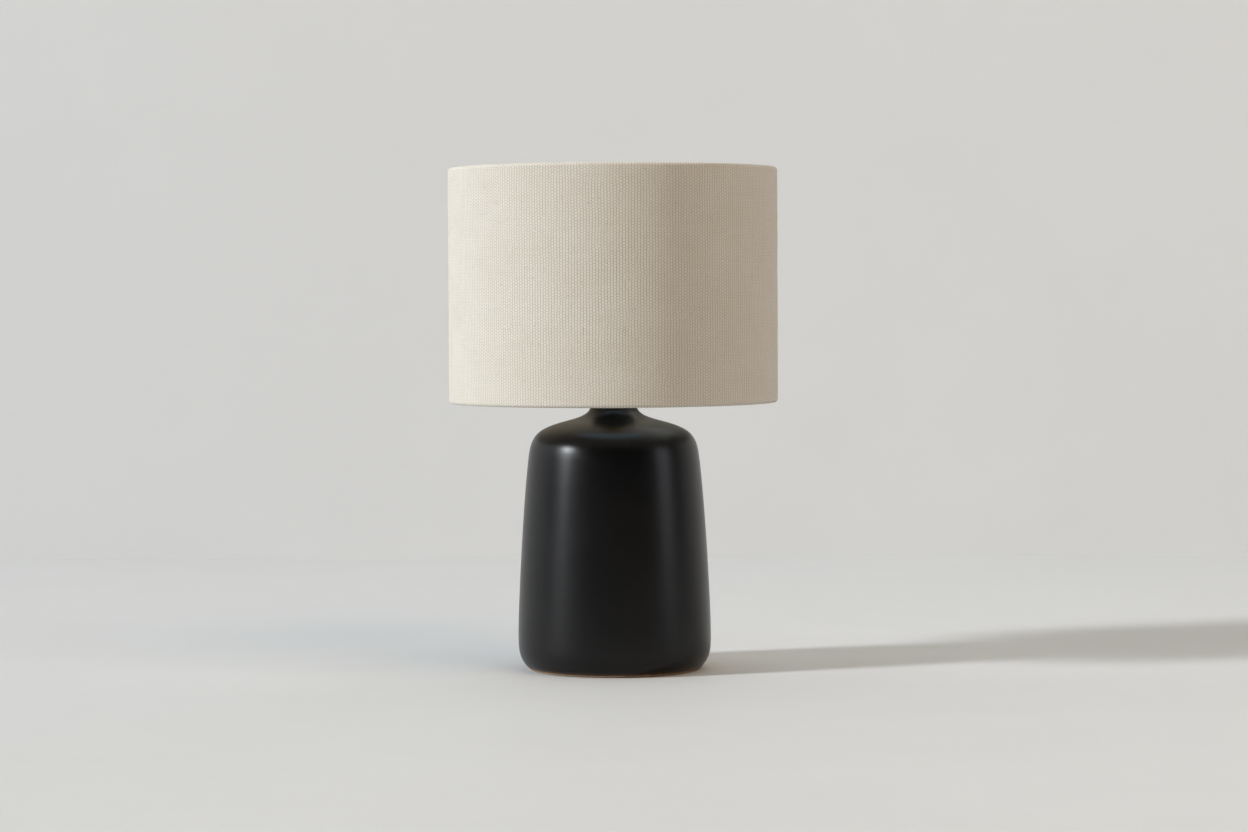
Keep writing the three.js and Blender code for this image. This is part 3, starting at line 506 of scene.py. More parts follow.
def board_finish():
    """White solder mask with pale tracks and pads."""
    tree, shader, place = new_finish("circuit_board", Roughness=0.5)
    inputs = {"Vector": place, "Scale": 260.0}
    cells = add_node(tree, "ShaderNodeTexVoronoi", inputs, feature="F1", distance="MANHATTAN")
    tracks = ramped(tree, cells.outputs["Distance"], 0.42, 0.5)
    pads = ramped(tree, cells.outputs["Distance"], 0.14, 0.18, 1.0, 0.0)
    masked = mixed(tree, tracks, (0.74, 0.77, 0.73, 1.0), (0.62, 0.66, 0.6, 1.0))
    feed(tree, shader.inputs["Base Color"], mixed(tree, pads, masked, (0.55, 0.5, 0.38, 1.0)))
    feed(tree, shader.inputs["Metallic"], maths(tree, "MULTIPLY", pads, 0.8))
    bump(tree, shader, tracks, 0.3, 0.05 * MM)


def make_finishes():
    scene = bpy.context.scene
    glaze_finish(scene.lamp_base)
    linen_finish(scene.lamp_shade)
    felt_finish()
    metal_finish("brass", (0.62, 0.42, 0.16), (0.3, 0.18, 0.065), 0.27)
    metal_finish("nickel", (0.62, 0.6, 0.56), (0.4, 0.38, 0.35), 0.22)
    metal_finish("zinc_steel", (0.5, 0.51, 0.53), (0.33, 0.32, 0.3), 0.36, 380.0, 0.55)
    moulded_finish("black_steel", (0.013, 0.0125, 0.0125), (0.02, 0.019, 0.018), 0.36, 700.0)
    moulded_finish("black_plastic", (0.011, 0.011, 0.011), (0.019, 0.019, 0.019), 0.42, 1300.0)
    moulded_finish("white_plastic", (0.8, 0.78, 0.73), (0.74, 0.715, 0.655), 0.4, 1100.0)
    moulded_finish("liner", (0.85, 0.83, 0.77), (0.8, 0.77, 0.7), 0.62, 500.0, 0.04)
    moulded_finish("white_wire", (0.76, 0.74, 0.69), (0.68, 0.655, 0.6), 0.45, 420.0, 0.12)
    moulded_finish("opal", (0.86, 0.84, 0.79), (0.83, 0.8, 0.74), 0.42, 1600.0, 0.02,
                   Subsurface_Weight=0.25, Subsurface_Scale=0.004)
    card_finish()
    board_finish()


# ---------------------------------------------------------------- outlines

def bezier(start, start_handle, end_handle, end, steps):
    """Points along a cubic curve, both ends included."""
    t = np.linspace(0.0, 1.0, steps + 1)[:, None]
    corners = [np.asarray(point, float) for point in (start, start_handle, end_handle, end)]
    weights = [(1 - t) ** 3, 3 * t * (1 - t) ** 2, 3 * t * t * (1 - t), t ** 3]
    return sum(weight * corner for weight, corner in zip(weights, corners))


def arc(centre, size, start, end, steps):
    angles = np.linspace(start, end, steps + 1)
    return np.stack([centre[0] + size * np.cos(angles), centre[1] + size * np.sin(angles)], axis=1)


def rounded(corners, steps=4):
    """Rounds the corners of an outline of (radius, height[, fillet])."""
    points = [Vector(corner[:2]) for corner in corners]
    open_ended = points[0].x == 0 and points[-1].x == 0
    outline = []
    for index, (here, corner) in enumerate(zip(points, corners)):
        fillet = corner[2] if len(corner) > 2 else 0.0
        at_end = open_ended and index in (0, len(points) - 1)
        if fillet <= 0 or at_end:
            outline.append(tuple(here))
            continue
        before = points[index - 1] - here
        after = points[(index + 1) % len(points)] - here
        turn = math.pi - before.angle(after)
        reach = min(fillet * math.tan(turn / 2), 0.49 * before.length, 0.49 * after.length)
        first = here + before.normalized() * reach
        last = here + after.normalized() * reach
        for step in range(steps + 1):
            t = step / steps
            outline.append(tuple((1 - t) ** 2 * first + 2 * t * (1 - t) * here + t * t * last))
    return outline


def stepped(outline, step, low=-math.inf, high=math.inf):
    """Divides the lines of an outline between two heights so that none is longer than a step."""
    points = [np.asarray(point, float) for point in outline]
    open_ended = points[0][0] == 0 and points[-1][0] == 0
    following = points[1:] if open_ended else points[1:] + points[:1]
    made = []
    for here, after in zip(points, following):
        middle = (here[1] + after[1]) / 2
        span = np.linalg.norm(after - here)
        count = max(1, math.ceil(span / step)) if low <= middle <= high else 1
        made += [here + (after - here) * part / count for part in range(count)]
    if open_ended:
        made.append(points[-1])
    return made


def offset(points, distance):
    """Moves a line sideways, to the left of its direction."""
    points = np.asarray(points, float)
    ahead = np.diff(points, axis=0)
    ahead /= np.linalg.norm(ahead, axis=1)[:, None]
    before = np.vstack([ahead[:1], ahead])
    after = np.vstack([ahead, ahead[-1:]])
    along = before + after
    along /= np.linalg.norm(along, axis=1)[:, None]
    share_of_turn = (before * along).sum(axis=1)[:, None]
    sideways = np.stack([-along[:, 1], along[:, 0]], axis=1)
    return points + sideways * distance / share_of_turn


def tubular(bore, outer, low, high, edge):
    """The outline of a sleeve with rounded edges."""
    return rounded([(bore, low, edge), (outer, low, edge), (outer, high, edge), (bore, high, edge)])


# ---------------------------------------------------------------- meshes

def make_object(name, vertices, faces, matrix=None):
    mesh = bpy.data.meshes.new(name)
    mesh.from_pydata([tuple(vertex) for vertex in vertices], [], faces)
    if matrix is not None:
        mesh.transform(matrix)
    mesh.update()
    made = bpy.data.objects.new(name, mesh)
    bpy.context.scene.collection.objects.link(made)
    return made


def turned(name, outline, segments, shape=None, matrix=None, start=0.0):
    """Turns an outline about Z. It is a closed loop, or a line that starts and ends on the axis.

    shape takes arrays of radius, height and angle, and returns the new radius and height.
    """
    points = np.asarray([tuple(point)[:2] for point in outline], float)
    following = np.roll(points, -1, axis=0)
    area = (points[:, 0] * following[:, 1] - following[:, 0] * points[:, 1]).sum()
    if area < 0:
        points = points[::-1]
    on_axis = points[:, 0] < 1e-9
    angles = start + np.linspace(0.0, TURN, segments, endpoint=False)
    reach, height, angle = (
        np.repeat(points[:, 0:1], segments, axis=1), np.repeat(points[:, 1:2], segments, axis=1),
        np.repeat(angles[None, :], len(points), axis=0),
    )
    if shape is not None:
        reach, height = shape(reach, height, angle)
    vertices, rows = [], []
    for row, central in enumerate(on_axis):
        first = len(vertices)
        if central:
            vertices.append((0.0, 0.0, height[row, 0]))
            rows.append([first] * segments)
        else:
            vertices += list(zip(
                reach[row] * np.cos(angles), reach[row] * np.sin(angles), height[row],
            ))
            rows.append(list(range(first, first + segments)))
    closed = not (on_axis[0] and on_axis[-1])
    faces = []
    for row in range(len(rows) if closed else len(rows) - 1):
        here, above = rows[row], rows[(row + 1) % len(rows)]
        for side in range(segments):
            after = (side + 1) % segments
            corners = [here[side], here[after], above[after], above[side]]
            faces.append(list(dict.fromkeys(corners)))
    return make_object(name, vertices, faces, matrix)


def thread(pitch, depth, low, high, from_radius=0.0, fade=1.5):
    """A rolled screw thread between two heights, on every surface outside a radius."""
    def shape(reach, height, angle):
        wave = 0.5 - 0.5 * np.cos(TURN * height / pitch - angle)
        run_in = np.clip((height - low) / (fade * pitch), 0, 1)
        run_out = np.clip((high - height) / (fade * pitch), 0, 1)
        cut_depth = depth * wave * run_in * run_out * (reach >= from_radius)
        return reach - cut_depth, height
    return shape


def flutes(count, depth, low, high, from_radius, sharpness=1.0):
    """Grooves along a turned piece, faded out over the last millimetre of each end."""
    def shape(reach, height, angle):
        wave = (0.5 + 0.5 * np.cos(count * angle)) ** sharpness
        window = np.clip((height - low) / MM, 0, 1) * np.clip((high - height) / MM, 0, 1)
        return reach - depth * wave * window * (reach >= from_radius), height
    return shape


def apply_modifiers(piece):
    """Turns the piece with its modifiers into a plain mesh and takes the modifiers off."""
    graph = bpy.context.evaluated_depsgraph_get()
    mesh = bpy.data.meshes.new_from_object(piece.evaluated_get(graph))
    old = piece.data
    piece.modifiers.clear()
    piece.data = mesh
    bpy.data.meshes.remove(old)
    piece.data.name = piece.name
    return piece


def cleaned(piece, distance=2e-6):
    """Merges doubled points and dissolves slivers that a cut leaves behind."""
    mesh = bmesh.new()
    mesh.from_mesh(piece.data)
    bmesh.ops.remove_doubles(mesh, verts=mesh.verts, dist=distance)
    bmesh.ops.dissolve_degenerate(mesh, edges=mesh.edges, dist=distance)
    mesh.to_mesh(piece.data)
    mesh.free()
    return piece


def combined(piece, operation, *tools):
    """Cuts tools from a piece or joins them to it, and deletes the tools."""
    for tool in tools:
        step = piece.modifiers.new("Combine", "BOOLEAN")
        step.operation = operation
        step.object = tool
        step.solver = "EXACT"
    apply_modifiers(piece)
    for tool in tools:
        bpy.data.objects.remove(tool, do_unlink=True)
    return cleaned(piece)


def bevelled(piece, width, segments=2, angle=30):
    step = piece.modifiers.new("Edges", "BEVEL")
    step.width = width
    step.segments = segments
    step.limit_method = "ANGLE"
    step.angle_limit = math.radians(angle)
    return apply_modifiers(piece)


def block(name, low, high):
    """A box between two corners, used to cut or as the start of a bevelled piece."""
    xs, ys, zs = zip(low, high)
    corners = [(x, y, z) for z in zs for y in ys for x in xs]
    faces = [(0, 2, 3, 1), (4, 5, 7, 6), (0, 1, 5, 4), (2, 6, 7, 3), (0, 4, 6, 2), (1, 3, 7, 5)]
    return make_object(name, corners, faces)


def rod(name, size, low, high, segments=48, matrix=None):
    return turned(name, [(0, low), (size, low), (size, high), (0, high)], segments, matrix=matrix)


def pointing(direction, place=(0, 0, 0)):
    """Turns +Z to a direction and moves the origin to a place."""
    turn = Vector((0, 0, 1)).rotation_difference(Vector(direction)).to_matrix().to_4x4()
    return Matrix.Translation(place) @ turn


def finish(piece, slot, body, nodes=(), angle=38):
    """Smooths a piece, gives it its finish, ties it to its body and hides the nodes it replaces."""
    piece.data.materials.clear()
    piece.data.materials.append(finishes[slot])
    piece.data.polygons.foreach_set("material_index", [0] * len(piece.data.polygons))
    piece.data.polygons.foreach_set("use_smooth", [True] * len(piece.data.polygons))
    piece.data.set_sharp_from_angle(angle=math.radians(angle))
    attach(piece, body)
    if nodes:
        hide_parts(*nodes)
    return piece


# ---------------------------------------------------------------- geometry nodes

def geometry_tree(name, sizes, build):
    """A tree with named size inputs that ends in Realize Instances and Set Material."""
    if name in bpy.data.node_groups:
        return bpy.data.node_groups[name]
    tree = bpy.data.node_groups.new(name, "GeometryNodeTree")
    tree.interface.new_socket("Geometry", in_out="INPUT", socket_type="NodeSocketGeometry")
    for label, kind in sizes:
        tree.interface.new_socket(label, in_out="INPUT", socket_type=kind)
    tree.interface.new_socket("Material", in_out="INPUT", socket_type="NodeSocketMaterial")
    tree.interface.new_socket("Geometry", in_out="OUTPUT", socket_type="NodeSocketGeometry")
    entry = tree.nodes.new("NodeGroupInput")
    leave = tree.nodes.new("NodeGroupOutput")
    shape = build(tree, entry.outputs)
    solid = add_node(tree, "GeometryNodeRealizeInstances", {"Geometry": shape})
    inputs = {"Geometry": solid.outputs[0], "Material": entry.outputs["Material"]}
    painted = add_node(tree, "GeometryNodeSetMaterial", inputs)
    tree.links.new(painted.outputs[0], leave.inputs[0])
    return tree


def grown(piece, tree, slot, **sizes):
    """Runs a tree on a piece and leaves the plain mesh."""
    step = piece.modifiers.new(tree.name, "NODES")
    step.node_group = tree
    sizes["Material"] = finishes[slot]
    for socket in tree.interface.items_tree:
        label = socket.name.replace(" ", "_")
        if socket.in_out == "INPUT" and label in sizes:
            step[socket.identifier] = sizes[label]
    return apply_modifiers(piece)


def wire_tree():
    """Round wire of even thickness along the edges of a path."""
    def build(tree, given):
        path = add_node(tree, "GeometryNodeMeshToCurve", {"Mesh": given["Geometry"]})
        section = add_node(tree, "GeometryNodeCurvePrimitiveCircle", {
            "Resolution": given["Sides"], "Radius": given["Wire Radius"],
        })
        return add_node(tree, "GeometryNodeCurveToMesh", {
            "Curve": path.outputs[0], "Profile Curve": section.outputs[0], "Fill Caps": True,
        }).outputs[0]

    return geometry_tree(
        "Wire", [("Wire Radius", "NodeSocketFloat"), ("Sides", "NodeSocketInt")], build,
    )


def copies_tree():
    """Copies of one shape spaced round the axis, turned to face outwards."""
    def build(tree, given):
        places = add_node(tree, "GeometryNodeMeshLine", {
            "Count": given["Count"], "Offset": (0.0, 0.0, 0.0),
        }, mode="OFFSET")
        index = tree.nodes.new("GeometryNodeInputIndex").outputs[0]
        step = maths(tree, "DIVIDE", TURN, given["Count"])
        angle = maths(tree, "MULTIPLY_ADD", index, step, given["First Angle"])
        turn = add_node(tree, "ShaderNodeCombineXYZ", {"Z": angle})
        return add_node(tree, "GeometryNodeInstanceOnPoints", {
            "Points": places.outputs[0], "Instance": given["Geometry"], "Rotation": turn.outputs[0],
        }).outputs[0]

    return geometry_tree(
        "Copies round the axis", [("Count", "NodeSocketInt"), ("First Angle", "NodeSocketFloat")],
        build,
    )


def slub_tree():
    """Thick places in the yarns: long low beads laid along the warp or the weft."""
    def build(tree, given):
        points = add_node(tree, "GeometryNodeDistributePointsOnFaces", {
            "Mesh": given["Geometry"], "Density": given["Density"], "Seed": given["Seed"],
        })
        bead = add_node(tree, "GeometryNodeMeshUVSphere", {
            "Segments": 8, "Rings": 6, "Radius": given["Slub Radius"],
        })
        lengths = add_node(tree, "FunctionNodeRandomValue", {
            "Min": (4.0, 0.75, 0.4), "Max": (13.0, 1.15, 0.7), "Seed": 5,
        }, data_type="FLOAT_VECTOR").outputs["Value"]
        along_warp = add_node(tree, "FunctionNodeRandomValue", {
            "Probability": 0.35, "Seed": 8,
        }, data_type="BOOLEAN").outputs["Value"]
        for_index = add_node(tree, "FunctionNodeAlignEulerToVector", {
            "Vector": points.outputs["Normal"],
        }, axis="Z", pivot_axis="AUTO").outputs[0]
        level = add_node(tree, "FunctionNodeAlignEulerToVector", {
            "Rotation": for_index, "Vector": (0.0, 0.0, 1.0),
        }, axis="Y", pivot_axis="Z").outputs[0]
        quarter = maths(tree, "MULTIPLY", along_warp, math.pi / 2)
        spin = add_node(tree, "ShaderNodeCombineXYZ", {"Z": quarter})
        turned_bead = add_node(tree, "FunctionNodeRotateEuler", {
            "Rotation": level, "Rotate By": spin.outputs[0],
        }, space="LOCAL").outputs[0]
        return add_node(tree, "GeometryNodeInstanceOnPoints", {
            "Points": points.outputs["Points"], "Instance": bead.outputs["Mesh"],
            "Rotation": turned_bead, "Scale": lengths,
        }).outputs[0]

    return geometry_tree(
        "Slubs",
        [("Density", "NodeSocketFloat"), ("Seed", "NodeSocketInt"), ("Slub Radius", "NodeSocketFloat")],
        build,
    )


def path_object(name, points, closed=False):
    mesh = bpy.data.meshes.new(name)
    count = len(points)
    edges = [(index, (index + 1) % count) for index in range(count if closed else count - 1)]
    mesh.from_pydata([tuple(point) for point in points], edges, [])
    made = bpy.data.objects.new(name, mesh)
    bpy.context.scene.collection.objects.link(made)
    return made


def wire(name, points, size, slot, closed=False, sides=20):
    path = path_object(name, points, closed)
    return grown(path, wire_tree(), slot, Wire_Radius=size, Sides=sides)


# ---------------------------------------------------------------- base

def body_outline():
    """Foot, wall, shoulder and neck of the base: four curves that run into each other."""
    foot_radius = radius("felt_pad") + 8.3 * MM
    belly = np.array((radius("ceramic_body"), 36 * MM))
    foot = np.array((foot_radius, bottom("ceramic_body")))
    neck = np.array((23 * MM, top("ceramic_body") - 9 * MM))
    shoulder = np.array((belly[0] - 10.95 * MM, neck[1] - 54 * MM))
    slope = np.array((shoulder[0] - 32.4 * MM, neck[1] - 18.1 * MM))
    up = np.array((0.0, 1.0))
    shoulder_run = np.array((-0.12, 1.0)) / math.hypot(0.12, 1.0)
    slope_run = np.array((-3.45, 1.0)) / math.hypot(3.45, 1.0)
    handle = 0.28 * (shoulder[1] - belly[1])
    foot_run = np.array((0.77, 0.64)) * 15.1 * MM
    rim = (neck[0], top("ceramic_body"))
    return np.vstack([
        bezier(foot, foot + foot_run, belly - up * 15 * MM, belly, 26),
        bezier(belly, belly + up * handle / 2, shoulder - shoulder_run * handle, shoulder, 34)[1:],
        bezier(shoulder, shoulder + shoulder_run * 22.4 * MM,
               slope - slope_run * 25.7 * MM, slope, 30)[1:],
        bezier(slope, slope + slope_run * 13.8 * MM, neck - up * 11.6 * MM, neck, 26)[1:],
        [rim],
    ])


class LAMP_OT_base(bpy.types.Operator):
    """Glazed stoneware base, felt pad and cord bushing"""

    bl_idname = "lamp.base"
    bl_label = "Stoneware base"

    def execute(self, context):
        settings = context.scene.lamp_base
        outside = body_outline()
        neck_bore = 13 * MM
        floor = top("bottom_washer") + 7.3 * MM
        recess = floor - 7 * MM
        lip = top("ceramic_body") - 6 * MM
        inner = offset(outside, settings.wall)
        inside = [point for point in inner if floor < point[1] < lip and point[0] > neck_bore]
        rim_edge = 1.6 * MM
        rim = rounded([
            (outside[-2][0], outside[-2][1]), (outside[-1][0], outside[-1][1], rim_edge),
            (neck_bore, outside[-1][1], rim_edge), (neck_bore, lip),
        ], 6)[1:-1]
        foot_inner = radius("felt_pad") + 0.3 * MM
        ledge = radius("felt_pad") - 9 * MM
        pipe_hole = radius("lamp_pipe") + 0.6 * MM
        underside = rounded([
            (pipe_hole, floor), (pipe_hole, recess, 0.5 * MM), (ledge, recess, 1.5 * MM),
            (ledge, top("felt_pad") + 0.3 * MM, 1.2 * MM),
            (foot_inner, top("felt_pad") + 0.3 * MM, 0.4 * MM),
            (foot_inner, outside[0][1], 1.3 * MM), (outside[0][0], outside[0][1], 0.9 * MM),
            tuple(outside[1]),
        ], 5)[:-1]
        outline = [
            *outside[1:-1], *rim, (neck_bore, lip),
            *reversed(inside), (inside[0][0], floor), *underside,
        ]
        body = turned("glazed_base", outline, settings.segments)
        low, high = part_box("cord_bushing")
        inlet = (low.z + high.z) / 2
        place = pointing((0, 1, 0), (0, low.y - 12 * MM, inlet))
        hole = rod("inlet_cutter", 5 * MM, 0, 40 * MM, 48, place)
        finish(combined(body, "DIFFERENCE", hole), "glaze", "base", ["ceramic_body"], 50)
        self.felt()
        self.bushing(inlet, low, high)
        return {"FINISHED"}

    def felt(self):
        """Pressed felt with a soft uneven face and a cut edge."""
        size, thick = radius("felt_pad"), top("felt_pad")
        steps = 46
        face = [(size * step / steps, 0.0) for step in range(steps)]
        edge = [(size, 0.05 * MM), (size, 0.3 * MM), (size, thick / 2), (size, thick - 0.3 * MM)]
        outline = face + edge + [(r, thick) for r, _ in reversed(face)]
        rng = np.random.default_rng(7)

        def fluffed(reach, height, angle):
            lifted = rng.uniform(0.0, 0.09 * MM, reach.shape)
            upper = height > thick / 2
            ragged = rng.uniform(-0.22 * MM, 0.0, reach.shape) * (reach > size - 0.1 * MM)
            return reach + ragged, np.where(upper, height - lifted, height + lifted)

        pad = turned("felt_disc", outline, 160, fluffed)
        finish(pad, "felt", "base", ["felt_pad"], 80)

    def bushing(self, inlet, low, high):
        """Snap bushing that lines the cord inlet, with a rounded flange."""
        depth = high.y - low.y
        flange, bore, barrel = (high.x - low.x) / 2, 3.4 * MM, 4.7 * MM
        outline = rounded([
            (bore, 0, 0.3 * MM), (barrel + 0.3 * MM, 0, 0.2 * MM),
            (barrel + 1.1 * MM, 1.4 * MM, 0.2 * MM), (barrel, 1.4 * MM),
            (barrel, depth - 1.6 * MM, 0.2 * MM), (flange, depth - 1.6 * MM, 0.25 * MM),
            (flange, depth, 1.0 * MM), (flange - 2.4 * MM, depth, 0.3 * MM),
            (flange - 2.9 * MM, depth - 0.4 * MM, 0.3 * MM), (bore, depth - 0.4 * MM, 0.8 * MM),
        ], 5)
        ring = turned("inlet_bushing", outline, 72, matrix=pointing((0, 1, 0), (0, low.y, inlet)))
        finish(ring, "black_plastic", "base", ["cord_bushing"])


# ---------------------------------------------------------------- neck

def hex_nut(name, across, hole, low, high, chamfer=0.45):
    """A turned hexagon with chamfered corners and a countersunk hole."""
    edge_radius = across / 2

    def sided(reach, height, angle):
        side = (angle + TURN / 12) % (TURN / 6) - TURN / 12
        flat = edge_radius / np.cos(side)
        outer = reach > edge_radius * 1.001
        drop = (flat - edge_radius) * chamfer + 0.12 * MM
        on_top = outer & (height > (low + high) / 2)
        on_base = outer & (height <= (low + high) / 2)
        height = np.where(on_top, high - drop, np.where(on_base, low + drop, height))
        return np.where(outer, flat, reach), height

    wide = edge_radius * 1.1
    outline = [
        (hole, low + 0.4 * MM), (hole + 0.4 * MM, low), (edge_radius - 0.1 * MM, low), (wide, low),
        (wide, high), (edge_radius - 0.1 * MM, high), (hole + 0.4 * MM, high), (hole, high - 0.4 * MM),
    ]
    return turned(name, outline, 96, sided)


class LAMP_OT_neck(bpy.types.Operator):
    """Spun cap over the neck and the locknut on it"""

    bl_idname = "lamp.neck"
    bl_label = "Neck cap and locknut"

    def execute(self, context):
        low, high = bottom("neck_cap"), top("neck_cap")
        wide = radius("neck_cap")
        seat = top("ceramic_body") + 0.3 * MM
        hole = radius("lamp_pipe") + 0.3 * MM
        skirt = wide - 1.5 * MM
        dome = bezier((wide, seat + 0.9 * MM), (wide, seat + 3.1 * MM),
                      (19 * MM, high), (14 * MM, high), 14)
        step = rounded([
            (14 * MM, high), (12.6 * MM, high, 0.3 * MM), (12.3 * MM, high - 0.4 * MM, 0.3 * MM),
            (hole, high - 0.4 * MM, 0.2 * MM), (hole, seat),
        ], 4)[1:]
        outline = [*rounded([(skirt, low, 0.4 * MM), (wide, low, 0.4 * MM), tuple(dome[0])], 4)[:-1],
                   *dome, *step, (skirt, seat)]
        finish(turned("neck_cap_spun", outline, 160), "black_steel", "base", ["neck_cap"])
        nut_low, nut_high = bottom("neck_locknut"), top("neck_locknut")
        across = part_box("neck_locknut")[1].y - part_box("neck_locknut")[0].y
        nut = hex_nut("neck_nut", across, hole, nut_low, nut_high)
        finish(nut, "brass", "base", ["neck_locknut"], 30)
        return {"FINISHED"}


# ---------------------------------------------------------------- harp

class LAMP_OT_harp(bpy.types.Operator):
    """Saddle, bow, sliding ferrules, top block and swivel stud"""

    bl_idname = "lamp.harp"
    bl_label = "Harp"

    def execute(self, context):
        hardware = context.scene.lamp_hardware
        self.saddle()
        self.bow()
        for side in ("left", "right"):
            self.ferrule(side)
        self.top_block()
        self.stud(hardware)
        return {"FINISHED"}

    def saddle(self):
        low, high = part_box("harp_saddle")
        thick, width, ring_size, peg = 1.5 * MM, 8 * MM, 9.5 * MM, 1.5 * MM
        foot = (high.x - low.x - thick) / 2
        middle = low.z + thick / 2
        arm_top = middle + 11 * MM
        bend = 4 * MM
        right = [*arc((foot - bend, middle + bend), bend, -math.pi / 2, 0, 10), (foot, arm_top)]
        left = [(-x, z) for x, z in reversed(right)]
        line = np.array([*left, *right])
        outline = [*offset(line, -thick / 2), *reversed(offset(line, thick / 2))]
        count = len(outline)
        vertices = [(x, y, z) for y in (-width / 2, width / 2) for x, z in outline]
        faces = [list(range(count)), list(reversed(range(count, 2 * count)))]
        faces += [[i, i + count, (i + 1) % count + count, (i + 1) % count] for i in range(count)]
        strip = make_object("harp_saddle_strip", vertices, faces)
        bevelled(strip, 0.28 * MM, 2)
        swell = 0.04 * MM
        bore = radius("lamp_pipe") + 0.3 * MM
        under, over = middle - thick / 2 - swell, middle + thick / 2 + swell
        eye = rounded([
            (bore, under, 0.2 * MM), (ring_size, under, 0.3 * MM),
            (ring_size, over, 0.3 * MM), (bore, over, 0.2 * MM),
        ], 3)
        hole = rod("saddle_hole", bore + 1.2 * MM, middle - thick, middle + thick, 64)
        combined(strip, "DIFFERENCE", hole)
        combined(strip, "UNION", turned("saddle_eye", eye, 96))
        pegs = []
        for sign in (-1, 1):
            outline = rounded([
                (0, arm_top - peg), (peg, arm_top - peg), (peg, high.z, 0.5 * MM), (0, high.z),
            ])
            pegs.append(turned("peg", outline, 32, matrix=Matrix.Translation((sign * foot, 0, 0))))
        combined(strip, "UNION", *pegs)
        finish(strip, "brass", "base", ["harp_saddle"], 32)

    def bow(self):
        low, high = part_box("harp_wire")
        size = 1.6 * MM
        foot, wide = 24 * MM, (high.x - low.x) / 2 - size
        base, top_middle = low.z, high.z - size
        saddle = bottom("harp_saddle") + 0.75 * MM
        leg_end, bow_height = base + 27 * MM, saddle + 95 * MM
        flat = 14 * MM
        low_handle, high_handle = 0.5 * (bow_height - leg_end), 0.55 * (top_middle - bow_height)
        half = np.vstack([
            [(foot, 0, base)],
            bezier((foot, 0, leg_end), (foot, 0, leg_end + low_handle),
                   (wide, 0, bow_height - low_handle), (wide, 0, bow_height), 60),
            bezier((wide, 0, bow_height), (wide, 0, bow_height + high_handle),
                   (0.7 * wide, 0, top_middle), (flat, 0, top_middle), 60)[1:],
        ])
        mirrored = (half * (-1, 1, 1))[::-1]
        bow = wire("harp_bow", np.vstack([half, mirrored]), size, "brass", sides=24)
        finish(bow, "brass", "base", ["harp_wire"], 50)

    def ferrule(self, side):
        node = f"ferrule_{side}"
        low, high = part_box(node)
        size, bore = (high.x - low.x) / 2, 2.1 * MM
        tall = high.z - low.z
        groove = size - 0.35 * MM
        outline = rounded([
            (bore, 0, 0.2 * MM), (size, 0, 0.6 * MM), (size, 1.6 * MM, 0.3 * MM),
            (groove, 2.0 * MM, 0.2 * MM), (groove, 2.7 * MM, 0.2 * MM), (size, 3.0 * MM, 0.2 * MM),
            (size, tall - 3.0 * MM, 0.2 * MM), (groove, tall - 2.7 * MM, 0.2 * MM),
            (groove, tall - 2.0 * MM, 0.2 * MM), (size, tall - 1.6 * MM, 0.3 * MM),
            (size, tall, 0.6 * MM), (bore, tall, 0.2 * MM),
        ], 3)
        outline = stepped(outline, 0.5 * MM, 3 * MM, tall - 3 * MM)
        grip = flutes(30, 0.22 * MM, 2.9 * MM, tall - 2.9 * MM, size - 0.25 * MM)
        middle = Matrix.Translation(((low.x + high.x) / 2, 0, low.z))
        collar = turned(f"harp_ferrule_{side}", outline, 120, grip, middle)
        finish(collar, "brass", f"{side}_ferrule", [node], 45)

    def top_block(self):
        low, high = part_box("harp_top_block")
        body = bevelled(block("harp_top_fitting", low, high), 1.1 * MM, 4)
        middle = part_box("harp_wire")[1].z - 1.6 * MM
        bore = rod("wire_bore", 1.9 * MM, -20 * MM, 20 * MM, 40, pointing((1, 0, 0), (0, 0, middle)))
        tail = rod("tail_bore", 2.3 * MM, high.z - 1.5 * MM, high.z + 2 * MM, 40)
        combined(body, "DIFFERENCE", bore, tail)
        finish(body, "brass", "base", ["harp_top_block"], 25)

    def stud(self, hardware):
        low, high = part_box("harp_swivel_stud")
        tail, flange, shank = 1.8 * MM, (high.x - low.x) / 2, 3.1 * MM
        seat = low.z + 1.5 * MM
        shoulder = seat + 1.5 * MM
        outline = rounded([
            (0, low.z), (tail, low.z, 0.3 * MM), (tail, seat), (flange, seat, 0.35 * MM),
            (flange, shoulder, 0.45 * MM), (shank, shoulder, 0.2 * MM),
            (shank, high.z, 0.7 * MM), (0, high.z),
        ])
        outline = stepped(outline, 0.12 * MM, shoulder + 0.3 * MM, high.z - 0.8 * MM)
        cut_thread = thread(hardware.stud_thread, 0.5 * MM, shoulder + 0.3 * MM, high.z, 2.5 * MM, 0.6)
        stud = turned("swivel_stud_threaded", outline, 56, cut_thread)
        finish(stud, "brass", "swivel", ["harp_swivel_stud"], 60)


# ---------------------------------------------------------------- finial

class LAMP_OT_finial(bpy.types.Operator):
    """Turned ball finial"""

    bl_idname = "lamp.finial"
    bl_label = "Finial"

    def execute(self, context):
        low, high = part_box("finial")
        ball, base, waist = (high.x - low.x) / 2, 7 * MM, 4.8 * MM
        bore, depth = 3.6 * MM, top("harp_swivel_stud") + 0.3 * MM
        centre = high.z - ball
        neck_angle = -math.acos(waist / ball)
        globe = arc((0, centre), ball, neck_angle, math.pi / 2, 40)[:-1]
        foot = rounded([
            (bore, depth - 0.4 * MM), (bore, low.z, 0.5 * MM), (base, low.z, 0.5 * MM),
            (base, low.z + 1.7 * MM, 0.5 * MM), (base - 0.9 * MM, low.z + 2.1 * MM, 0.3 * MM),
            (base - 0.9 * MM, low.z + 2.5 * MM, 0.3 * MM), (waist, low.z + 3.1 * MM, 0.4 * MM),
            tuple(globe[0]),
        ], 5)[:-1]
        outline = [(0, depth), *foot, *globe, (0, high.z)]
        finish(turned("finial_ball", outline, 112), "brass", "finial", ["finial"], 40)
        return {"FINISHED"}


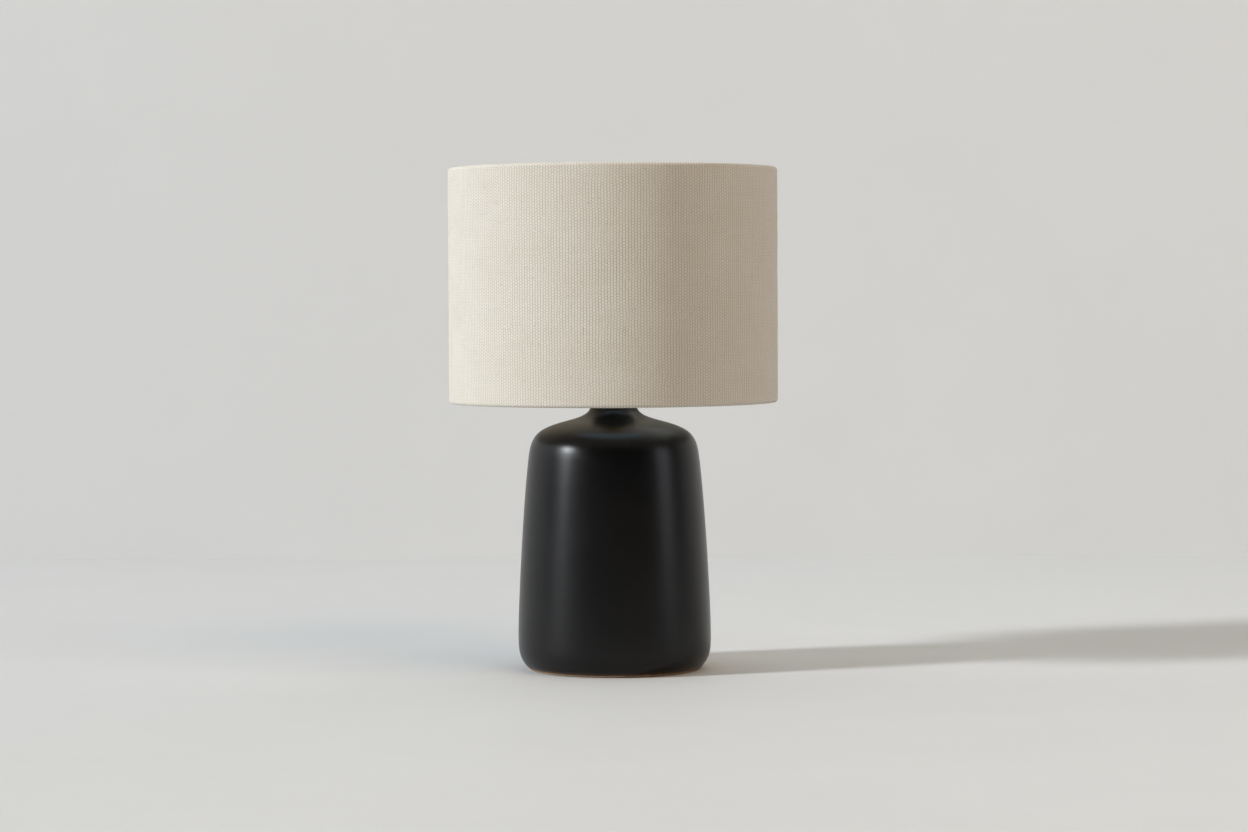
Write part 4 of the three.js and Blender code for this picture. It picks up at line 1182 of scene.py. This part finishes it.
# ---------------------------------------------------------------- socket

class LAMP_OT_socket(bpy.types.Operator):
    """Socket cap, shell, set screw and turn knob"""

    bl_idname = "lamp.socket"
    bl_label = "Socket"

    def execute(self, context):
        hardware = context.scene.lamp_hardware
        self.cap()
        self.shell()
        self.knob(hardware)
        return {"FINISHED"}

    def cap(self):
        low, high = bottom("socket_cap"), top("socket_cap")
        wide, hub, wall = radius("socket_cap"), 8 * MM, 0.8 * MM
        skirt = high - 10.6 * MM
        start = low + 0.3 * (skirt - low)
        dome = bezier((hub, start), (hub + 0.6 * (wide - hub), start),
                      (wide, low + 0.6 * (skirt - low)), (wide, skirt), 24)
        inner = [point for point in offset(dome, wall) if point[0] > hub]
        bead = arc((wide - 0.35 * MM, skirt + 2.4 * MM), 0.75 * MM, -1.1, 1.1, 8)
        beads = [(wide, skirt + 1.2 * MM), *bead, (wide, skirt + 3.6 * MM)]
        hole = radius("lamp_pipe") + 0.3 * MM
        outline = [
            *rounded([(hole, low, 0.4 * MM), (hub, low, 0.8 * MM), tuple(dome[0])], 4)[:-1],
            *dome, *beads,
            *rounded([(wide, skirt + 4 * MM), (wide, high, 0.3 * MM), (wide - wall, high, 0.3 * MM),
                      tuple(inner[-1])], 3)[:-1],
            *reversed(inner), (hub, low + 10.6 * MM), (hole, low + 10.6 * MM),
        ]
        cap = turned("socket_cap_spun", outline, 128)
        screw_height = (bottom("cap_set_screw") + top("cap_set_screw")) / 2
        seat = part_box("cap_set_screw")[0].y
        place = pointing((0, 1, 0), (0, seat - 0.2 * MM, screw_height))
        tapped = rod("screw_cutter", 1.8 * MM, 0, 12 * MM, 32, place)
        finish(combined(cap, "DIFFERENCE", tapped), "brass", "base", ["socket_cap"], 40)
        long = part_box("cap_set_screw")[1].y - seat
        place = pointing((0, 1, 0), (0, seat, screw_height))
        outline = rounded([(0, 0), (1.5 * MM, 0, 0.3 * MM), (1.5 * MM, long, 0.3 * MM), (0, long)], 3)
        outline = stepped(outline, 0.12 * MM, 0.3 * MM, long - 0.4 * MM)
        screw = turned("set_screw", outline, 36, thread(0.7 * MM, 0.3 * MM, 0, long, 1.2 * MM), place)
        slot = block("slot", (-2 * MM, seat + long - 0.6 * MM, screw_height - 0.2 * MM),
                     (2 * MM, seat + long + MM, screw_height + 0.2 * MM))
        finish(combined(screw, "DIFFERENCE", slot), "brass", "base", ["cap_set_screw"], 45)

    def shell(self):
        low, high = bottom("socket_shell"), top("socket_shell")
        wide = radius("socket_shell")
        wall = 0.7 * MM
        outline = stepped(tubular(wide - wall, wide, low, high, 0.25 * MM), 0.45 * MM)

        def beaded(reach, height, angle):
            """Two rolled beads round the shell, pushed outwards through the whole wall."""
            push = np.zeros_like(reach)
            for level in (high - 4.2 * MM, high - 16 * MM):
                push += 0.55 * MM * np.exp(-((height - level) / (0.85 * MM)) ** 2)
            return reach + push, height

        shell = turned("socket_shell_rolled", outline, 128, beaded)
        slot_half = 4.2 * MM
        level = (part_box("switch_shaft")[0].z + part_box("switch_shaft")[1].z) / 2
        channel = block("channel", (-slot_half, -2 * wide, low - MM), (slot_half, 0, level))
        round_end = rod("slot_end", slot_half, 0, 2 * wide, 48, pointing((0, -1, 0), (0, 0, level)))
        combined(channel, "UNION", round_end)
        finish(combined(shell, "DIFFERENCE", channel), "brass", "base", ["socket_shell"], 40)

    def knob(self, hardware):
        shaft_low, shaft_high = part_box("switch_shaft")
        level = (shaft_low.z + shaft_high.z) / 2
        size = (shaft_high.x - shaft_low.x) / 2
        long = shaft_high.y - shaft_low.y
        outward = pointing((0, -1, 0), (0, shaft_high.y, level))
        outline = rounded([(0, 0), (size, 0, 0.3 * MM), (size, long, 0.4 * MM), (0, long)], 3)
        outline = stepped(outline, 0.4 * MM, 8 * MM, 18 * MM)
        grooved = flutes(24, 0.18 * MM, 12.5 * MM, 17 * MM, size - 0.1 * MM)
        shaft = turned("switch_shaft_knurled", outline, 96, grooved, outward)
        finish(shaft, "brass", "switch", ["switch_shaft"], 50)

        low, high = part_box("switch_knob")
        wide, tall = (high.x - low.x) / 2, high.y - low.y
        bore, hollow = size + 0.3 * MM, high.y - shaft_low.y + 0.3 * MM
        outline = rounded([
            (0, hollow), (bore, hollow), (bore, 0, 0.3 * MM), (0.72 * wide, 0, 0.4 * MM),
            (0.95 * wide, 1.3 * MM, 0.8 * MM), (wide, tall - 1.6 * MM, 0.6 * MM),
            (wide - 0.3 * MM, tall, 1.1 * MM), (0.55 * wide, tall, 0.4 * MM),
            (0.5 * wide, tall - 0.35 * MM, 0.4 * MM), (0, tall - 0.35 * MM),
        ], 5)
        outline = stepped(outline, 0.5 * MM, 1.2 * MM, tall - 1.2 * MM)
        grip = flutes(hardware.knob_flutes, 0.75 * MM, 1.0 * MM, tall - 0.8 * MM, 0.9 * wide, 1.6)
        knob = turned("turn_knob", outline, 14 * 12, grip, pointing((0, -1, 0), (0, high.y, level)))
        finish(knob, "black_plastic", "switch", ["switch_knob"], 40)


# ---------------------------------------------------------------- bulb

class LAMP_OT_bulb(bpy.types.Operator):
    """Screw base, housing, frosted globe and the chips on the board"""

    bl_idname = "lamp.bulb"
    bl_label = "Bulb"

    def execute(self, context):
        hardware = context.scene.lamp_hardware
        self.screw_base(hardware)
        self.housing()
        self.globe()
        self.chips()
        return {"FINISHED"}

    def screw_base(self, hardware):
        low, high = bottom("bulb_screw_shell"), top("bulb_screw_shell")
        wide, wall = radius("bulb_screw_shell"), 0.8 * MM
        outside = [(wide - 2.5 * MM, low), (wide, low + 2.5 * MM), (wide, high)]
        inside = [tuple(point) for point in reversed(offset(outside, wall))]
        outline = stepped([*outside, *inside], 0.3 * MM)
        rolled = thread(hardware.cap_thread, 1.0 * MM, low + 1.5 * MM, high - 0.8 * MM, 0.0, 0.5)
        shell = turned("bulb_cap_threaded", outline, 96, rolled)
        finish(shell, "nickel", "bulb", ["bulb_screw_shell"], 60)

    def housing(self):
        low, high = bottom("bulb_housing"), top("bulb_housing")
        wide, neck, wall = radius("bulb_housing"), 13.6 * MM, 1.2 * MM
        tall = high - low
        curve = bezier((neck, low), (neck, low + 0.4 * tall),
                       (wide, high - 0.5 * tall), (wide, high - 1.6 * MM), 40)
        grooved = []
        for reach, height in curve:
            dip = 0.35 * MM * math.exp(-((height - low - 3.2 * MM) / (0.45 * MM)) ** 2)
            grooved.append((reach - dip, height))
        outside = rounded([*grooved, (wide, high, 0.4 * MM)], 4)
        inside = [tuple(point) for point in reversed(offset([*curve, (wide, high)], wall))]
        body = turned("bulb_housing_moulded", [*outside, *inside], 144)
        finish(body, "white_plastic", "bulb", ["bulb_housing"], 45)

    def globe(self):
        low, high = bottom("bulb_diffuser"), top("bulb_diffuser")
        size, wall, mouth = radius("bulb_diffuser"), 1.0 * MM, radius("bulb_housing")
        centre = high - size
        join = math.radians(-25)
        dome = arc((0, centre), size, join, math.pi / 2, 56)
        rise = dome[0][1] - low
        tangent = np.array((-math.sin(join), math.cos(join)))
        neck = bezier((mouth, low), (mouth, low + 0.3 * rise),
                      dome[0] - tangent * 0.35 * rise, dome[0], 14)
        outside = np.vstack([neck, dome[1:-1]])
        inside = offset(outside, wall)
        outline = [(0, high - wall), *reversed(inside), *outside, (0, high)]
        finish(turned("bulb_globe", outline, 144), "opal", "bulb", ["bulb_diffuser"], 60)

    def chips(self):
        """Two rings of light-emitting chips soldered on the round board."""
        seat = top("led_board") + 0.02 * MM
        size, tall = 1.4 * MM, 0.7 * MM
        rings = []
        for name, count, distance in (("outer", 12, 16 * MM), ("inner", 6, 8 * MM)):
            chip = block(f"chips_{name}", (distance - size, -size, seat),
                         (distance + size, size, seat + tall))
            bevelled(chip, 0.15 * MM, 1)
            rings.append(grown(chip, copies_tree(), "opal", Count=count, First_Angle=0.0))
        combined(rings[0], "UNION", rings[1])
        rings[0].name = "led_chips"
        finish(rings[0], "opal", "bulb", (), 30)


# ---------------------------------------------------------------- shade

class LAMP_OT_shade(bpy.types.Operator):
    """Linen drum, liner, rings and spider"""

    bl_idname = "lamp.shade"
    bl_label = "Linen shade"

    def execute(self, context):
        settings = context.scene.lamp_shade
        self.wire_size = 1.9 * MM
        self.ring_radius = radius("shade_top_ring") - self.wire_size
        self.levels = {
            "bottom": bottom("shade_bottom_ring") + self.wire_size,
            "top": top("shade_top_ring") - self.wire_size,
        }
        self.drum(settings)
        self.slubs(settings)
        self.liner()
        self.rings()
        self.spider()
        return {"FINISHED"}

    def cloth_line(self, settings):
        """Middle of the cloth, hem to hem: over the lower ring, up the wall, over the upper ring."""
        wall = radius("shade_fabric") - settings.cloth / 2
        bead = wall - self.ring_radius
        lower, upper = self.levels["bottom"], self.levels["top"]
        hem_radius = radius("shade_liner") - 0.7 * MM - 0.3 * MM - settings.cloth / 2
        bead_end = arc((self.ring_radius, 0), bead, 0, math.radians(200), 22)
        tangent = np.array((math.sin(math.radians(20)), -math.cos(math.radians(20))))
        bend = bezier(bead_end[-1], bead_end[-1] + tangent * 2.2 * MM,
                      (hem_radius, -7.5 * MM + 1.8 * MM), (hem_radius, -7.5 * MM), 8)[1:]
        hem = np.array([(hem_radius, -level) for level in np.linspace(8.6 * MM, settings.hem, 5)])
        fold = np.vstack([bead_end, bend, hem])
        top_fold = fold + (0, upper)
        bottom_fold = (fold * (1, -1) + (0, lower))[::-1]
        rise = np.linspace(lower, upper, 62)[1:-1]
        climb = np.stack([np.full(len(rise), wall), rise], axis=1)
        return np.vstack([bottom_fold, climb, top_fold])

    def drum(self, settings):
        line = self.cloth_line(settings)
        outer, inner = offset(line, -settings.cloth / 2), offset(line, settings.cloth / 2)
        along = np.concatenate([[0], np.cumsum(np.linalg.norm(np.diff(line, axis=0), axis=1))])
        outline = np.vstack([outer, inner[::-1]])
        run = np.concatenate([along, along[::-1]])
        lower, upper = self.levels["bottom"], self.levels["top"]
        wall = radius("shade_fabric")
        rng = np.random.default_rng(19)
        waves = [(rng.integers(3, 15), rng.uniform(0, TURN), rng.uniform(6, 38), rng.uniform(0, TURN))
                 for _ in range(9)]
        overlap = settings.overlap / wall
        hem_waves = rng.uniform(0, TURN, 4)

        def draped(reach, height, angle):
            """Soft waves in the stretched cloth, a crease under each bead and the seam at the back."""
            middle = np.clip((height - lower) / (upper - lower), 0, 1)
            span = np.sin(math.pi * middle) ** 0.5
            wave = sum(np.sin(n * angle + a) * np.sin(k * height / 0.235 + b) for n, a, k, b in waves)
            outside = reach > self.ring_radius + 1.5 * MM
            push = outside * span * wave * 0.045 * MM
            for level, sign in ((lower, 1), (upper, -1)):
                crease = np.exp(-((height - level - sign * 4.3 * MM) / (1.1 * MM)) ** 2)
                push -= outside * 0.33 * MM * crease
            turned_back = (angle - BACK + overlap / 2) % TURN
            lap = np.clip(turned_back / (0.25 * overlap), 0, 1) * (turned_back < overlap)
            push += outside * 0.7 * MM * lap
            cut = reach < self.ring_radius + 1.2 * MM
            from_middle, half = np.abs(height - (lower + upper) / 2), (upper - lower) / 2
            ripples = sum(np.sin((5 + 7 * n) * angle + phase) for n, phase in enumerate(hem_waves))
            ragged = ripples * 0.14 * MM
            edge = cut & (from_middle < half) & (from_middle < half - settings.hem + 2 * MM)
            return reach + push, height + ragged * edge

        drum = turned("linen_drum", outline, settings.segments, draped, start=BACK)
        self.flat_map(drum, outline, run, settings.segments, wall)
        finish(drum, "linen", "shade", ["shade_fabric"], 70)

    def flat_map(self, drum, outline, run, segments, wall):
        """Gives the cloth its flat map in metres: round the drum, and from hem to hem."""
        following = np.roll(outline, -1, axis=0)
        area = (outline[:, 0] * following[:, 1] - following[:, 0] * outline[:, 1]).sum()
        rows = run[::-1] if area < 0 else run
        mesh = drum.data
        corners = np.zeros(len(mesh.loops), np.int64)
        mesh.loops.foreach_get("vertex_index", corners)
        side = corners % segments
        first_of_face = np.repeat(side.reshape(-1, 4)[:, 0], 4)
        side = np.where((side == 0) & (first_of_face == segments - 1), segments, side)
        layer = mesh.uv_layers.new(name="cloth")
        flat = np.stack([side / segments * TURN * wall, rows[corners // segments]], axis=1)
        layer.data.foreach_set("uv", flat.astype(np.float32).ravel())

    def slubs(self, settings):
        """Thick places in the yarn, half sunk in the cloth."""
        wall = radius("shade_fabric")
        lower, upper = self.levels["bottom"] + 6 * MM, self.levels["top"] - 6 * MM
        count = 128
        vertices = [
            (wall * math.cos(TURN * i / count), wall * math.sin(TURN * i / count), z)
            for z in (lower, upper) for i in range(count)
        ]
        faces = [(i, (i + 1) % count, (i + 1) % count + count, i + count) for i in range(count)]
        area = TURN * wall * (upper - lower)
        patch = make_object("linen_slubs", vertices, faces)
        slubs = grown(patch, slub_tree(), "linen", Density=settings.slubs / area, Seed=3,
                      Slub_Radius=0.42 * MM)
        layer = slubs.data.uv_layers.get("cloth") or slubs.data.uv_layers.new(name="cloth")
        places = np.zeros(len(slubs.data.vertices) * 3, np.float32)
        slubs.data.vertices.foreach_get("co", places)
        places = places.reshape(-1, 3)
        corners = np.zeros(len(slubs.data.loops), np.int64)
        slubs.data.loops.foreach_get("vertex_index", corners)
        angle = (np.arctan2(places[:, 1], places[:, 0]) - BACK) % TURN
        flat = np.stack([angle * wall, places[:, 2]], axis=1)[corners]
        layer.data.foreach_set("uv", flat.astype(np.float32).ravel())
        finish(slubs, "linen", "shade", (), 80)

    def liner(self):
        low, high = bottom("shade_liner"), top("shade_liner")
        wide, thick = radius("shade_liner"), 0.7 * MM
        outline = stepped(tubular(wide - thick, wide - 0.05 * MM, low, high, 0.15 * MM), 16 * MM)

        def lapped(reach, height, angle):
            """The sheet's own lap at the back, on the inside."""
            inner = reach < wide - 0.4 * MM
            turned_back = (angle - BACK + 0.05) % TURN
            return reach - 0.3 * MM * inner * (turned_back < 0.1), height

        liner = turned("shade_liner_sheet", outline, 384, lapped, start=BACK)
        finish(liner, "liner", "shade", ["shade_liner"], 50)

    def rings(self):
        for side, level in self.levels.items():
            angles = np.linspace(0, TURN, 180, endpoint=False)
            size = self.ring_radius
            path = [(size * math.cos(a), size * math.sin(a), level) for a in angles]
            ring = wire(f"shade_wire_{side}", path, self.wire_size, "white_wire", closed=True)
            finish(ring, "white_wire", "shade", [f"shade_{side}_ring"], 60)

    def spider(self):
        low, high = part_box("spider_washer")
        wide, hole, thick = (high.x - low.x) / 2, 3.6 * MM, high.z - low.z
        hub = turned("spider_hub", rounded([
            (hole, low.z, 0.3 * MM), (wide, low.z, 0.5 * MM), (wide, high.z, 0.5 * MM),
            (hole + 1.2 * MM, high.z, 0.3 * MM), (hole + 0.9 * MM, high.z - 0.3 * MM, 0.2 * MM),
            (hole, high.z - 0.3 * MM, 0.2 * MM),
        ], 4), 96)
        finish(hub, "white_wire", "shade", ["spider_washer"], 40)
        level, ring_level = low.z + thick / 2, self.levels["top"]
        start, bend = wide - 0.8 * MM, self.ring_radius - 30 * MM
        shelf, end = self.ring_radius - 12 * MM, self.ring_radius - self.wire_size + 0.5 * MM
        handle = 0.45 * (shelf - bend)
        reach = np.vstack([
            [(start, level)],
            bezier((bend, level), (bend + handle, level),
                   (shelf - handle, ring_level), (shelf, ring_level), 36),
            [(end, ring_level)],
        ])
        for arm in range(3):
            angle = BACK + TURN * arm / 3
            path = [(r * math.cos(angle), r * math.sin(angle), z) for r, z in reach]
            piece = wire(f"spider_arm_wire_{arm + 1}", path, 1.6 * MM, "white_wire")
            finish(piece, "white_wire", "shade", [f"spider_arm_{arm + 1}"], 60)
        self.welds(start, level, end, ring_level)

    def welds(self, start, level, end, ring_level):
        """Small fillets of weld where each arm meets the washer and the ring."""
        half = [(0, 2.3 * MM), (1.3 * MM, 1.9 * MM), (2.1 * MM, 0.6 * MM)]
        outline = [(across, -along) for across, along in half] + half[::-1]
        at_hub, at_ring = (start + 1.0 * MM, level), (end - 0.6 * MM, ring_level)
        beads = []
        for name, (place, height) in (("weld_beads", at_hub), ("ring_welds", at_ring)):
            bead = turned(name, outline, 14, matrix=pointing((0, 1, 0), (place, 0, height)))
            smooth = bead.modifiers.new("Soft", "SUBSURF")
            smooth.levels = smooth.render_levels = 1
            apply_modifiers(bead)
            beads.append(grown(bead, copies_tree(), "white_wire", Count=3, First_Angle=BACK))
        for bead in beads:
            finish(bead, "white_wire", "shade", (), 80)


# ---------------------------------------------------------------- inner pieces kept from the model

class LAMP_OT_inner_pieces(bpy.types.Operator):
    """Gives every piece carried over from the model its finish"""

    bl_idname = "lamp.inner_pieces"
    bl_label = "Inner pieces"

    def execute(self, context):
        kept = {
            "zinc_steel": ["bottom_washer", "bottom_lock_washer", "bottom_nut", "lamp_pipe"],
            "card": ["shell_insulator"],
            "white_plastic": ["socket_core"],
            "nickel": ["screw_shell", "neutral_terminal_screw", "bulb_contact"],
            "brass": ["hot_terminal_screw", "centre_contact"],
            "black_plastic": ["bulb_insulator", "driver_capacitor"],
            "circuit_board": ["led_board", "driver_board"],
        }
        for slot, nodes in kept.items():
            for node in nodes:
                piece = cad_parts[node]
                piece.data.materials.clear()
                piece.data.materials.append(finishes[slot])
        return {"FINISHED"}


# ---------------------------------------------------------------- stage

def placed_light(name, data, strength, tint, direction):
    data.energy = strength
    data.color = tint
    light = bpy.data.objects.new(name, data)
    light.rotation_euler = direction.to_track_quat("-Z", "Y").to_euler()
    bpy.context.scene.collection.objects.link(light)
    return light


def area_light(name, place, aim, size, strength, tint):
    data = bpy.data.lights.new(name, "AREA")
    data.shape = "RECTANGLE"
    data.size, data.size_y = size
    light = placed_light(name, data, strength, tint, Vector(aim) - Vector(place))
    light.location = place
    light.visible_camera = False


def distant_light(name, azimuth, elevation, strength, spread, tint):
    """A softbox so far off that it lights the whole floor alike; spread is its width as an angle."""
    data = bpy.data.lights.new(name, "SUN")
    data.angle = math.radians(spread)
    away = Vector(round_the_lamp(azimuth, elevation, 1.0, 0.0))
    placed_light(name, data, strength, tint, -away)


def round_the_lamp(azimuth, elevation, distance, height=0.25):
    """A place seen from the lamp: azimuth 0 is the camera's side, positive to its right."""
    angle, rise = math.radians(azimuth - 90), math.radians(elevation)
    flat = distance * math.cos(rise)
    return flat * math.cos(angle), flat * math.sin(angle), height + distance * math.sin(rise)


class LAMP_OT_stage(bpy.types.Operator):
    """Camera, pale floor and wall, and soft studio light"""

    bl_idname = "lamp.stage"
    bl_label = "Stage"

    def execute(self, context):
        stage = context.scene.lamp_stage
        self.camera(context.scene, stage)
        self.room(stage)
        self.lights()
        context.scene.view_settings.view_transform = "Standard"
        return {"FINISHED"}

    def camera(self, scene, stage):
        data = bpy.data.cameras.new("camera")
        data.lens = stage.lens
        data.sensor_width = 36
        camera = bpy.data.objects.new("camera", data)
        tilt, yaw, roll = math.radians(87.795), math.radians(-0.18), -0.0047
        turn = Euler((tilt, 0, yaw)).to_matrix() @ Matrix.Rotation(roll, 3, "Z")
        place = Matrix.Translation((0, -stage.camera_distance, stage.camera_height))
        camera.matrix_world = place @ turn.to_4x4()
        scene.collection.objects.link(camera)
        scene.camera = camera

    def room(self, stage):
        far = 14.0
        behind = stage.wall_distance
        on_floor = [(-far, -far, 0), (far, -far, 0), (far, far, 0), (-far, far, 0)]
        on_wall = [(-far, behind, 0), (far, behind, 0), (far, behind, far), (-far, behind, far)]
        for name, corners, paint in (
            ("floor", on_floor, stage.floor_paint), ("wall", on_wall, stage.wall_paint),
        ):
            surface = make_object(name, corners, [(0, 1, 2, 3)])
            material = bpy.data.materials.new(f"{name} paint")
            material.use_nodes = True
            tree = material.node_tree
            shader = tree.nodes["Principled BSDF"]
            place = tree.nodes.new("ShaderNodeTexCoord").outputs["Object"]
            shaded = opaque([0.96 * part for part in paint])
            cloudy = mottled(tree, place, opaque(paint), shaded, 2.0, 0.5)
            feed(tree, shader.inputs["Base Color"], cloudy["Color"])
            shader.inputs["Roughness"].default_value = 0.7
            if name == "wall":
                clear = tree.nodes.new("ShaderNodeBsdfTransparent")
                back = add_node(tree, "ShaderNodeNewGeometry").outputs["Backfacing"]
                sides = add_node(tree, "ShaderNodeMixShader", {0: back})
                tree.links.new(shader.outputs[0], sides.inputs[1])
                tree.links.new(clear.outputs[0], sides.inputs[2])
                tree.links.new(sides.outputs[0], tree.nodes["Material Output"].inputs[0])
            surface.data.materials.append(material)

    def lights(self):
        scene = bpy.context.scene
        world = bpy.data.worlds.new("studio")
        world.use_nodes = True
        tree = world.node_tree
        background = tree.nodes["Background"]
        background.inputs["Color"].default_value = (1.0, 0.99, 0.97, 1.0)
        seen = add_node(tree, "ShaderNodeLightPath").outputs["Is Camera Ray"]
        feed(tree, background.inputs["Strength"], ramped(tree, seen, 0.0, 1.0, 0.04, 0.7))
        scene.world = world
        distant_light("key softbox", -70, 26, 2.2, 8.0, (0.9, 0.94, 0.985))
        distant_light("low end of the key", -69, 11, 0.3, 9.0, (0.9, 0.94, 0.985))
        for name, around, rise, distance, size, strength, tint in (
            ("near key", -70, 24, 10.0, (1.5, 1.5), 410, (0.9, 0.945, 1.0)),
            ("right reflector", 70, 12, 5.5, (1.7, 2.2), 32, (0.9, 0.92, 1.0)),
            ("high fill", 40, 48, 6.0, (3.8, 2.6), 128, (1.0, 0.76, 0.5)),
            ("overhead", 0, 86, 4.5, (3.5, 3.5), 52, (0.68, 0.88, 1.0)),
        ):
            area_light(name, round_the_lamp(around, rise, distance), (0, 0, 0.25), size, strength, tint)


# ---------------------------------------------------------------- panel and registration

class LAMP_PT_panel(bpy.types.Panel):
    """Lists the lamp's pieces and sizes"""

    bl_idname = "LAMP_PT_panel"
    bl_label = "Table lamp"
    bl_space_type = "VIEW_3D"
    bl_region_type = "UI"
    bl_category = "Lamp"

    def draw(self, context):
        layout = self.layout
        for operator in OPERATORS:
            layout.operator(operator.bl_idname, text=operator.bl_label)
        for attribute, kind in SETTINGS.items():
            box = layout.box()
            box.label(text=kind.__doc__)
            settings = getattr(context.scene, attribute)
            for label in kind.__annotations__:
                box.prop(settings, label)


OPERATORS = (
    LAMP_OT_stage, LAMP_OT_base, LAMP_OT_neck, LAMP_OT_harp, LAMP_OT_finial, LAMP_OT_socket,
    LAMP_OT_bulb, LAMP_OT_shade, LAMP_OT_inner_pieces,
)


def register():
    for kind in (*SETTINGS.values(), *OPERATORS, LAMP_PT_panel):
        bpy.utils.register_class(kind)
    for attribute, kind in SETTINGS.items():
        setattr(bpy.types.Scene, attribute, PointerProperty(type=kind))


def unregister():
    for attribute in SETTINGS:
        delattr(bpy.types.Scene, attribute)
    for kind in reversed((*SETTINGS.values(), *OPERATORS, LAMP_PT_panel)):
        bpy.utils.unregister_class(kind)


def main():
    register()
    bpy.ops.lamp.stage()
    make_finishes()
    for operator in OPERATORS[1:]:
        family, action = operator.bl_idname.split(".")
        getattr(getattr(bpy.ops, family), action)()


if __name__ == "__main__":
    main()
